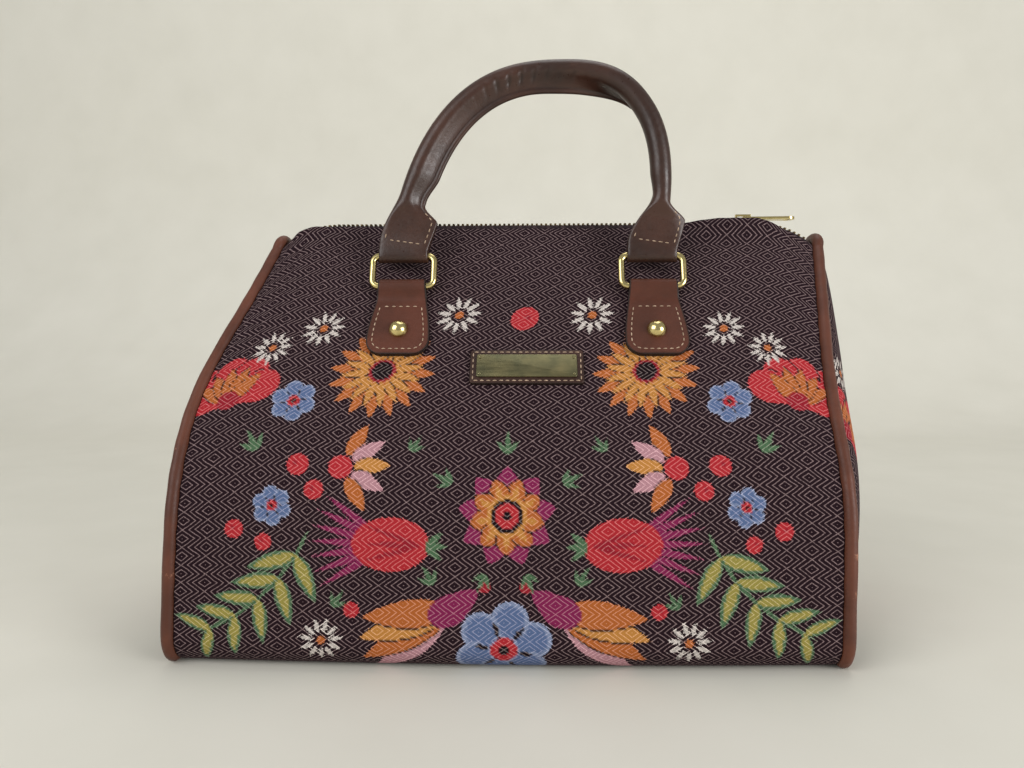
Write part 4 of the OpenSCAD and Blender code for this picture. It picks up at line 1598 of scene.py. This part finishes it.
    def set_dome(self, dome: Thing, name: str, at: Placer) -> Thing:
        """Copy a rivet head on to a tab.

        Args:
            dome: The rivet head.
            name: The copy's name.
            at: The map from the tab's patch of wall to the bag.

        Returns:
            The copy.
        """
        height = 2 * self.layer_t + 2 * self.form.seat_gap
        origin = at([[0, -self.rivet_drop, height]])[0]
        axes = [at([[0, -self.rivet_drop, height] + step])[0] - origin for step in np.eye(3)]
        copy = new_object(name, dome.data.copy())
        matrix = Matrix.Translation(Vector(origin * MM)) @ Matrix(np.array(axes).T.tolist()).to_4x4()
        copy.data.transform(matrix)
        if matrix.determinant() < 0:
            copy.data.flip_normals()
        return copy


@dataclass
class RingSet:
    """Four rings of round brass wire bent to rounded rectangles."""

    form: BagForm
    hardware: Hardware
    finishes: Finishes
    wire_sides: int = 20
    corner_steps: int = 8
    weld: float = 0.02

    def bend_wire(self) -> Thing:
        """Model one upright ring: a circle drawn along the bars and spun round the corners."""
        tools = self.hardware
        half = (max(tools.tab_w, tools.strap_w) + tools.ring_play + tools.ring_wire) / 2
        straight, corner = half - tools.ring_corner, tools.ring_corner
        rise = tools.ring_reach - 2 * corner
        deselect()
        bpy.ops.mesh.primitive_circle_add(vertices=self.wire_sides, radius=tools.ring_wire / 2 * MM,
                                          location=(-straight * MM, 0, 0), rotation=(0, math.pi / 2, 0))
        wire = bpy.context.object
        bpy.ops.object.transform_apply()
        edit_all()
        top = tools.ring_reach - corner
        legs = (((2 * straight, 0, 0), (straight, 0, corner)), ((0, 0, rise), (straight, 0, top)),
                ((-2 * straight, 0, 0), (-straight, 0, top)), ((0, 0, -rise), (-straight, 0, corner)))
        for move, centre in legs:
            draw_out(*move)
            bpy.ops.mesh.spin(steps=self.corner_steps, angle=math.pi / 2, center=[c * MM for c in centre],
                              axis=(0, 1, 0))
        bpy.ops.mesh.select_all(action="SELECT")
        bpy.ops.mesh.remove_doubles(threshold=self.weld * MM)
        bpy.ops.mesh.normals_make_consistent(inside=False)
        bpy.ops.object.mode_set(mode="OBJECT")
        bpy.ops.object.shade_smooth()
        return wire

    def build(self) -> None:
        """Copy the ring to its four places and dress it."""
        wire = self.bend_wire()
        points = points_of(wire)
        for side, body in ((Side.FRONT, Body.FRONT_RINGS), (Side.REAR, Body.REAR_RINGS)):
            for name, x in self.hardware.places():
                label = f"{side.label}_{name}"
                ring = new_object(f"{label}_wire_ring", wire.data.copy())
                if side is Side.REAR:
                    ring.data.flip_normals()
                move_points(ring, self.hardware.swung(self.form, side, x, bar=False)(points))
                finish_piece(ring, self.finishes.brass, body, Slot.BRASS, [f"{label}_ring"])
        bpy.data.objects.remove(wire)


@dataclass
class HandlePair:
    """Two handles, each one strap rolled to a drop in section, with flat ends folded round the rings.

    The roll's seam faces the hand on the left and turns to the rear beyond the top.
    """

    form: BagForm
    hardware: Hardware
    finishes: Finishes
    height: float = 90.0
    width: float = 16.5
    thick: float = 10.5
    neck_w: float = 13.8
    skew: float = 16.0
    arch: float = 2.6
    strap_h: float = 19.0
    strap_t: float = 4.2
    flare: float = 3.0
    fold_h: float = 12.0
    flat_power: float = 0.25
    neck_at: float = 1.5
    full_at: float = 2.2
    ear_span: Span = (0.95, 1.4)
    taper_span: Span = (0.3, 1.6)
    turn_from: float = 0.46
    turn_to: float = 0.66
    fin_t: float = 2.4
    fin_round: float = 0.8
    seam_in: float = 2.6
    groove: float = 0.35
    groove_w: float = 0.5
    crease_pitch: float = 6.4
    crease_depth: float = 1.7
    crease_slant: float = 0.35
    crease_at: Span = (0.455, 0.5)
    crease_reach: Span = (0.055, 2.6)
    rim_paint: float = 0.4
    seam_paint: float = 0.5
    # Painted shade: how far the creases are darkened with the edge colour
    crease_shade: float = 0.8
    hollow: float = 0.7
    steps: int = 480
    sides: int = 72
    thread_low: float = 5.0
    thread_high: float = 7.8
    thread_in: float = 2.6

    @property
    def span(self) -> float:
        """Half the distance between the feet."""
        return self.hardware.spacing / 2

    def line(self) -> tuple[Array, Array]:
        """The middle line from under one bar to under the other, and each point's share of the arch."""
        share = np.linspace(0, 1, self.steps + 1)
        t = np.pi / 2 * (1 - np.cos(np.pi * share))
        h = np.abs(np.sin(t)) ** (2 / self.arch)
        foot = self.hardware.bore_r + 0.4
        arch = stacked(-self.span * power(np.cos(t), 2 / self.arch) + self.skew * h,
                       foot + (self.height - foot) * h)
        low = np.append(-self.hardware.loop_r * np.cos(np.linspace(0.08, np.pi / 2, 9)), [0.8, 1.6])
        left = stacked(-self.span, low)
        right = left[::-1] * [-1, 1]
        ends = np.zeros(len(low))
        return np.vstack([left, arch, right]), np.concatenate([ends, share, ends + 1])

    def drop(self, half: Array, angle: Array) -> tuple[Array, Array]:
        """A drop: a circle and two flat faces that meet in a thin seam.

        Args:
            half: Half the drop's length.
            angle: Angles round it, zero at the seam.

        Returns:
            Places along the drop, positive towards the seam, and across it.
        """
        r = half * self.thick / self.width
        centre = r - half
        sine = r / (half - centre)
        meet, top = centre + r * sine, r * np.sqrt(1 - sine ** 2)
        p = half * np.cos(angle)
        ball = np.sqrt(np.clip(r ** 2 - (p - centre) ** 2, 0, None))
        face = top * (half - p) / (half - meet)
        fin = self.fin_t / 2 * np.sqrt(np.clip((half - p) / self.fin_round, 0, 1))
        groove = self.groove * np.exp(-((half - p - self.seam_in) / self.groove_w) ** 2)
        pinch = self.hollow * np.sin(np.pi * np.clip((p - meet) / (half - meet), 0, 1))
        q = np.where(p < meet, ball, np.maximum(face - pinch, fin) - groove)
        return p, q * np.sign(np.sin(angle))

    def rings(self) -> tuple[Grid, Array]:
        """Draw the handle in its own frame.

        Returns:
            Rings of points along it, and the edge paint on them, with painted shade in the creases.
        """
        line, share = self.line()
        v = line[:, 1:]
        rising = np.sign(0.5 - share)[:, None]
        upright = np.hstack([0 * rising, rising])
        neck, full = self.neck_at * self.strap_h, self.full_at * self.strap_h
        ahead = upright + ease(v, 0, neck) * (directions(line) - upright)
        ahead /= np.linalg.norm(ahead, axis=1, keepdims=True)
        inward = stacked(ahead[:, 1], -ahead[:, 0])
        a = -2 * np.pi * (np.arange(self.sides) + 0.5)[None, :] / self.sides
        c, s = np.cos(a), np.sin(a)
        ear, taper = (ease(v / self.strap_h, *span) for span in (self.ear_span, self.taper_span))
        rolled = taper + (ear - taper) * (1 + rising * c) / 2
        flat_w = (self.hardware.strap_w + self.flare * ease(v, 0, self.strap_h)) / 2
        loop = np.sqrt(np.clip(self.hardware.loop_r ** 2 - np.minimum(v, 0) ** 2, 0, None))
        flat = self.strap_t / 2
        flat_t = np.where(v < 0, loop, flat + (loop - flat) * (1 - ease(v, 0, self.fold_h)))
        roll_w = (self.neck_w + (self.width - self.neck_w) * ease(v, neck, full)) / 2
        turn = np.pi / 2 * ease(share, self.turn_from, self.turn_to)[:, None]
        p, q = self.drop(roll_w, a - turn)
        folds = self.creases(line, share[:, None], p, q)
        q = q * (1 - self.crease_depth / (self.thick / 2) * folds)
        slim = 1 - 2 * roll_w / self.width
        aside = slim * (self.width * np.cos(turn) + self.thick * np.sin(turn)) / 2
        w = (1 - rolled) * flat_w * power(c, self.flat_power)
        w = w + rolled * (p * np.cos(turn) - q * np.sin(turn) - aside)
        t = (1 - rolled) * flat_t * power(s, self.flat_power)
        t = t + rolled * (p * np.sin(turn) + q * np.cos(turn))
        points = stacked(line[:, :1] + inward[:, :1] * w, t, v + inward[:, 1:] * w)
        rim = self.rim_paint * (1 - rolled) * ease(np.abs(c), 0.96, 0.985)
        seam = self.seam_paint * rolled * np.exp(-((roll_w - p - self.seam_in) / 0.6) ** 2) * (p > 0)
        # Painted shade: the creases are darkened with the edge colour, as well as pressed in
        return points, np.maximum(np.maximum(rim, seam), self.crease_shade * folds).ravel()

    def creases(self, line: Array, share: Array, p: Array, q: Array) -> Array:
        """Draw short cross creases in front, left of the top.

        Args:
            line: The middle line.
            share: Each of its points' share of the arch.
            p: Places along the drop.
            q: Places across it.

        Returns:
            The creases, from 0 beside them to 1 in the deepest.
        """
        run = run_along(line)[:, None]
        wave = (0.5 + 0.5 * np.sin(2 * np.pi * run / self.crease_pitch + self.crease_slant * p)) ** 3
        (top, middle), (far, beside) = self.crease_at, self.crease_reach
        return wave * np.exp(-((share - top) / far) ** 2 - ((p - middle) / beside) ** 2) * (q < 0)

    @staticmethod
    def depth_at(rows: Grid, places: Array, face: int) -> Array:
        """Depth of the leather's face under places given across and up.

        Args:
            rows: Rings of points.
            places: Places across and up.
            face: -1 for the front face, 1 for the rear face.

        Returns:
            The depth at each place.
        """
        cloud = rows[rows[:, :, 1] * face > 0]
        gaps = np.linalg.norm(places[:, None, :] - cloud[None, :, [0, 2]], axis=2)
        near = np.argsort(gaps, axis=1)[:, :4]
        weight = 1 / (np.take_along_axis(gaps, near, axis=1) + 0.05)
        return (cloud[near, 1] * weight).sum(axis=1) / weight.sum(axis=1)

    def thread_paths(self, rings: Grid) -> list[tuple[Array, Array]]:
        """Stitched lines on both faces of both flat ends, and the way out of the leather."""
        paths = []
        count = len(rings) // 4
        for rows in (rings[:count], rings[::-1][:count]):
            flat = rows[:, :, [0, 2]]
            middle = flat.mean(axis=1)
            edges = []
            for outermost in (np.argmin, np.argmax):
                edge = flat[np.arange(count), outermost(flat[:, :, 0], axis=1)]
                way = middle - edge
                edges.append(edge + self.thread_in * way / np.linalg.norm(way, axis=1, keepdims=True))
            left, right = edges
            left = left[(left[:, 1] > self.thread_high) & (left[:, 1] < self.thread_high + 4)]
            right = right[(right[:, 1] > self.thread_low) & (right[:, 1] < 1.15 * self.strap_h)]
            across = np.linspace(left[0], right[0], 12)[1:-1]
            for face in (-1, 1):
                for run in (left, across, right):
                    depth = self.depth_at(rows, run, face)
                    points = stacked(run[:, 0], depth, run[:, 1])
                    paths.append((points, np.tile([0.0, face, 0.0], (len(run), 1))))
        return paths

    def bore(self, handle: Thing, at: Placer) -> None:
        """Cut the room for the rings' bars through both folds.

        Args:
            handle: The handle.
            at: The map from an upright handle to the bag.
        """
        deselect()
        reach = self.span + self.hardware.strap_w
        bpy.ops.mesh.primitive_cylinder_add(
            vertices=40, radius=self.hardware.bore_r * MM, depth=2 * reach * MM,
            location=(at([[0, 0, 0]])[0] * MM).tolist(), rotation=(0, math.pi / 2, 0))
        drill = bpy.context.object
        bpy.context.view_layer.objects.active = handle
        cut = handle.modifiers.new("bar_room", "BOOLEAN")
        cut.object = drill
        cut.solver = "EXACT"
        bpy.ops.object.modifier_apply(modifier=cut.name)
        bpy.data.objects.remove(drill)

    def build(self) -> None:
        """Make and dress both handles and their thread."""
        sewing = Stitching(self.finishes)
        rings, paint = self.rings()
        points, faces = tube(rings)
        for side, body in ((Side.FRONT, Body.FRONT_GRIP), (Side.REAR, Body.REAR_GRIP)):
            label = side.label
            at = self.hardware.swung(self.form, side, self.hardware.middle_x, bar=True)
            handle = make_piece(f"{label}_rolled_handle", at(points), faces)
            # Edge paint, the seam line and painted shade in the creases
            keep_values(handle, "edge_paint_and_crease_shade", paint)
            self.bore(handle, at)
            select_only(handle)
            shade(60)
            finish_piece(handle, self.finishes.roll, body, Slot.LEATHER, [f"{label}_handle"])
            origin = at([[0, 0, 0]])[0]
            sewing.runs(f"{label}_handle_thread",
                        [(at(p), at(out) - origin) for p, out in self.thread_paths(rings)], body)


@dataclass
class ZipClosure:
    """The zip: two tapes, the crimped teeth, the slider and its pull."""

    form: BagForm
    finishes: Finishes
    tape_rise: float = 1.4
    tape_t: float = 0.6
    tape_edge: float = 2.0
    flange: float = 8.0
    stations: int = 220
    soft_edge: float = 0.16
    weld: float = 0.005

    def tape_section(self) -> Array:
        """Half depth and height round one tape."""
        form = self.form
        slant = math.hypot(1, form.lean_rate)
        z, low = form.hem_z + self.tape_rise, form.hem_z - self.flange

        def beside(height: float) -> float:
            """Half depth just inside the wall at a height."""
            outside = form.mouth_w / 2 + form.lean_rate * (form.hem_z - height)
            return outside - form.wall_t * slant - form.sewn_gap

        t = self.tape_t
        return np.array([[self.tape_edge, z + t], [beside(z + t), z + t], [beside(low), low],
                         [beside(low) - t * slant, low], [beside(z) - t * slant, z], [self.tape_edge, z]])

    def build(self) -> None:
        """Make the tapes, and dress the metal."""
        section = self.tape_section()
        u = np.linspace(-1, 1, self.stations)[:, None]
        for side in Side:
            label = side.label
            rings = self.form.place(u, side.value * section[None, :, 0], section[None, :, 1])
            tape = make_piece(f"{label}_woven_tape", *tube(rings))
            select_only(tape)
            shade(30)
            finish_piece(tape, self.finishes.tape, Body.BAG, Slot.TAPE, [f"{label}_zip_tape"])
            self.soften(f"{label}_zip_teeth", f"{label}_crimped_teeth", self.finishes.zip_metal, Body.BAG,
                        Slot.ZIP_METAL)
        self.soften("zip_slider", "cast_zip_slider", self.finishes.brass, Body.SLIDER, Slot.BRASS)
        self.soften("zip_pull", "cast_zip_pull", self.finishes.brass, Body.PULL, Slot.BRASS)

    def soften(self, node: str, name: str, material: Material, body: Body, slot: Slot) -> None:
        """Copy a solid and round its edges.

        Args:
            node: The solid.
            name: The new piece's name.
            material: What it is made of.
            body: The body that it rides on.
            slot: The record's slot for its finish.
        """
        piece = new_object(name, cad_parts[node].data.copy())
        select_only(piece)
        edit_all()
        bpy.ops.mesh.remove_doubles(threshold=self.weld * MM)
        bpy.ops.mesh.dissolve_limited(angle_limit=math.radians(1))
        bpy.ops.object.mode_set(mode="OBJECT")
        if piece.data.has_custom_normals:
            bpy.ops.mesh.customdata_custom_splitnormals_clear()
        bevel = piece.modifiers.new("soft_edges", "BEVEL")
        bevel.width = self.soft_edge * MM
        bevel.segments = 2
        bevel.limit_method = "ANGLE"
        bevel.angle_limit = math.radians(35)
        bpy.ops.object.modifier_apply(modifier=bevel.name)
        shade(40)
        finish_piece(piece, material, body, slot, [node])


@dataclass
class NamePlate:
    """A bare metal plate, pinned to a stitched leather backing on the front wall."""

    form: BagForm
    hardware: Hardware
    finishes: Finishes
    height: float = 129.5
    backing: Triple = (53.0, 18.5, 1.6)
    margin: float = 3.2
    backing_soft: float = 0.5
    plate_t: float = 0.8
    plate_soft: float = 0.25
    corner: float = 2.0
    pin_d: float = 1.6
    pin_in: float = 0.7
    pin_flat: float = 0.6
    thread_in: float = 1.5
    thread_pitch: float = 2.9
    stitch: float = 2.2
    painted_edge: Span = (0.05, 0.9)

    @property
    def at(self) -> Placer:
        """The map from the plate's patch of wall to the bag."""
        return self.form.on_wall(self.hardware.middle_x, self.height, Side.FRONT)

    def slab(self, name: str, w: float, h: float, t: float, corner: float, soft: float) -> Thing:
        """Model a flat piece with round corners and a soft rim.

        Args:
            name: The piece's name.
            w: Width.
            h: Height.
            t: Thickness.
            corner: Radius of its corners.
            soft: Radius of its upper edge.

        Returns:
            The piece, flat on the origin.
        """
        deselect()
        bpy.ops.mesh.primitive_cube_add(size=1, location=(0, 0, t / 2 * MM), scale=(w * MM, h * MM, t * MM))
        piece = bpy.context.object
        piece.name = name
        bpy.ops.object.transform_apply()
        for edges, radius, segments in ((self.upright_edges, corner, 6), (self.upper_edges, soft, 3)):
            bpy.ops.object.mode_set(mode="EDIT")
            bpy.ops.mesh.select_all(action="DESELECT")
            bpy.ops.mesh.select_mode(type="EDGE")
            bpy.ops.object.mode_set(mode="OBJECT")
            for edge in edges(piece.data):
                edge.select = True
            bpy.ops.object.mode_set(mode="EDIT")
            bpy.ops.mesh.bevel(offset=radius * MM, segments=segments, affect="EDGES")
            bpy.ops.object.mode_set(mode="OBJECT")
        shade(30)
        return piece

    @staticmethod
    def upright_edges(mesh: bpy.types.Mesh) -> list[bpy.types.MeshEdge]:
        """The edges that stand up."""
        ways = [(edge, mesh.vertices[edge.vertices[0]].co - mesh.vertices[edge.vertices[1]].co)
                for edge in mesh.edges]
        return [edge for edge, way in ways if abs(way.z) > 0.5 * way.length]

    @staticmethod
    def upper_edges(mesh: bpy.types.Mesh) -> list[bpy.types.MeshEdge]:
        """The edges round the upper face."""
        top = max(v.co.z for v in mesh.vertices)
        return [edge for edge in mesh.edges if all(mesh.vertices[k].co.z > top - 1e-6 for k in edge.vertices)]

    def lay(self, piece: Thing, out: float) -> None:
        """Move a flat piece on to the wall, some way out of it."""
        move_points(piece, self.at(points_of(piece) + [0, 0, out]))

    def build(self) -> None:
        """Make and dress the backing, its thread, the plate and the pins."""
        w, h, t = self.backing
        gap = self.form.seat_gap
        leather = self.slab("stitched_plate_backing", w, h, t, self.corner, self.backing_soft)
        edge = np.min([w / 2, h / 2] - np.abs(points_of(leather)[:, :2]), axis=1)
        keep_values(leather, "edge_paint_and_crease_shade", 1 - ease(edge, *self.painted_edge))
        self.lay(leather, gap)
        finish_piece(leather, self.finishes.backing, Body.BAG, Slot.LEATHER, ["plate_backing"])
        plate_w, plate_h = w - 2 * self.margin, h - 2 * self.margin
        plate = self.slab("bare_name_plate", plate_w, plate_h, self.plate_t, self.corner / 2, self.plate_soft)
        self.lay(plate, t + 2 * gap)
        finish_piece(plate, self.finishes.old_brass, Body.BAG, Slot.OLD_BRASS, ["name_plate"])
        self.pins(plate_w, plate_h, t + self.plate_t + 3 * gap)
        self.sew(w, h, t + gap)

    def pins(self, w: float, h: float, out: float) -> None:
        """Model one pin's head and set it in each corner of the plate.

        Args:
            w: Width of the plate.
            h: Its height.
            out: How far its face stands out of the wall.
        """
        deselect()
        bpy.ops.mesh.primitive_uv_sphere_add(segments=16, ring_count=10, radius=self.pin_d / 2 * MM,
                                             scale=(1, 1, self.pin_flat))
        head = bpy.context.object
        bpy.ops.object.transform_apply()
        edit_all()
        bpy.ops.mesh.bisect(plane_co=(0, 0, 0), plane_no=(0, 0, 1), use_fill=True, clear_inner=True)
        shade(50)
        inside = self.pin_d / 2 + self.pin_in
        heads = []
        for x in (inside - w / 2, w / 2 - inside):
            for y in (inside - h / 2, h / 2 - inside):
                heads.append(new_object("corner_pin", head.data.copy()))
                heads[-1].data.transform(Matrix.Translation((x * MM, y * MM, 0)))
        bpy.data.objects.remove(head)
        pins = joined("plate_corner_pins", heads)
        self.lay(pins, out)
        finish_piece(pins, self.finishes.old_brass, Body.BAG, Slot.OLD_BRASS, ["plate_pins"])

    def sew(self, w: float, h: float, out: float) -> None:
        """Stitch the backing round its margin.

        Args:
            w: Width of the backing.
            h: Its height.
            out: How far its face stands out of the wall.
        """
        x, y = w / 2 - self.thread_in, h / 2 - self.thread_in
        corners = np.array([[-x, y, out], [-x, -y, out], [x, -y, out], [x, y, out], [-x, y, out]])
        paths = [on_patch(self.at, np.linspace(a, b, 8)) for a, b in zip(corners, corners[1:])]
        sewing = Stitching(self.finishes, self.thread_pitch, self.stitch)
        sewing.runs("plate_backing_thread", paths, Body.BAG)


@dataclass
class Inside:
    """What stands inside the closed bag: the lining and the base board."""

    finishes: Finishes

    def build(self) -> None:
        """Dress the solids that stay as they are."""
        for node, material in (("lining", self.finishes.lining), ("base_board", self.finishes.board)):
            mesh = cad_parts[node].data
            mesh.materials.clear()
            mesh.materials.append(material)
            LOG.info("%s: dressed", node)


@dataclass(frozen=True)
class Lamp:
    """A square soft lamp that faces the bag: place and size in metres, and power in watts."""

    name: str
    at: Triple
    size: float
    watts: float


@dataclass
class Studio:
    """Pale floor and backdrop, soft lamps and the camera."""

    window: Lamp = Lamp("window", (1.55, -1.12, 0.47), 0.9, 24)
    fill: Lamp = Lamp("fill", (-1.2, -1.2, 1.0), 1.3, 20)
    top: Lamp = Lamp("top", (0.2, 0.3, 1.9), 1.2, 9)
    lit_point: Triple = (0, 0, 0.13)
    sky: str = "#eef0f2"
    sky_strength: float = 0.42
    camera_at: Triple = (12.27, -417.02, 148.07)
    yaw: float = 1.549
    pitch: float = -4.16
    roll: float = -0.058
    focal_px: float = 770.0
    image_px: float = 1024.0
    sensor: float = 36.0
    back_y: float = 1100.0
    front_y: float = -2200.0
    width: float = 5200.0
    wall_h: float = 2400.0
    curve_r: float = 500.0

    def build(self) -> None:
        """Set up the stage, the light and the camera."""
        self.sweep()
        self.lamps()
        self.camera()
        bpy.context.scene.view_settings.view_transform = "Standard"

    def sweep(self) -> None:
        """Make the floor and backdrop as one curved sheet."""
        a = np.radians(np.linspace(-90, 0, 20))
        bend = stacked(self.back_y - self.curve_r + self.curve_r * np.cos(a),
                       self.curve_r + self.curve_r * np.sin(a))
        line = np.vstack([[[self.front_y, 0]], bend, [[self.back_y, self.wall_h]]])
        points = np.array([[x, y, z] for x in (-self.width / 2, self.width / 2) for y, z in line])
        mesh = bpy.data.meshes.new("pale_sweep")
        mesh.from_pydata((points * MM).tolist(), [], [face[::-1] for face in grid_faces(2, len(line))])
        mesh.polygons.foreach_set("use_smooth", np.ones(len(mesh.polygons), bool))
        sheet = new_object("pale_sweep", mesh)
        mesh.materials.append(Painted("matt_painted_sweep", "#dcd9ce", "#d2cfc3").build())

    def lamps(self) -> None:
        """Set a large window lamp at the right, a softer one at the left, one above and a low even sky."""
        world = bpy.data.worlds.new("soft_room")
        bpy.context.scene.world = world
        world.use_nodes = True
        set_inputs(world.node_tree, world.node_tree.nodes["Background"],
                   {"Color": linear(self.sky), "Strength": self.sky_strength})
        for lamp in (self.window, self.fill, self.top):
            light = bpy.data.lights.new(lamp.name, "AREA")
            light.size = lamp.size
            light.energy = lamp.watts
            thing = new_object(lamp.name, light)
            thing.location = lamp.at
            ahead = Vector(self.lit_point) - Vector(lamp.at)
            thing.rotation_euler = ahead.to_track_quat("-Z", "Y").to_euler()

    def camera(self) -> None:
        """Place the camera where the photograph was taken from."""
        yaw, pitch, roll = (math.radians(a) for a in (self.yaw, self.pitch, self.roll))
        right = Vector((math.cos(yaw), math.sin(yaw), 0))
        level = Vector((-math.sin(yaw), math.cos(yaw), 0))
        up = Vector((0, 0, 1)) * math.cos(pitch) - level * math.sin(pitch)
        ahead = level * math.cos(pitch) + Vector((0, 0, 1)) * math.sin(pitch)
        across = right * math.cos(roll) + up * math.sin(roll)
        over = up * math.cos(roll) - right * math.sin(roll)
        lens = bpy.data.cameras.new("camera")
        lens.sensor_width = self.sensor
        lens.lens = self.focal_px / self.image_px * self.sensor
        lens.clip_start = 0.01
        thing = new_object("camera", lens)
        axes = Matrix((across, over, -ahead)).transposed().to_4x4()
        thing.matrix_world = Matrix.Translation(Vector(self.camera_at) * MM) @ axes
        bpy.context.scene.camera = thing


def main() -> None:
    """Build the bag piece by piece, then the studio."""
    logging.basicConfig(level=logging.INFO, format="%(name)s %(message)s")
    form, hardware, finishes = BagForm(), Hardware(), Finishes()
    for piece in (
        WovenBody(form, finishes),
        Piping(form, finishes),
        ZipClosure(form, finishes),
        TabSet(form, hardware, finishes),
        RingSet(form, hardware, finishes),
        HandlePair(form, hardware, finishes),
        NamePlate(form, hardware, finishes),
        Inside(finishes),
        Studio(),
    ):
        LOG.info("building %s", type(piece).__name__)
        piece.build()


if __name__ == "__main__":
    main()
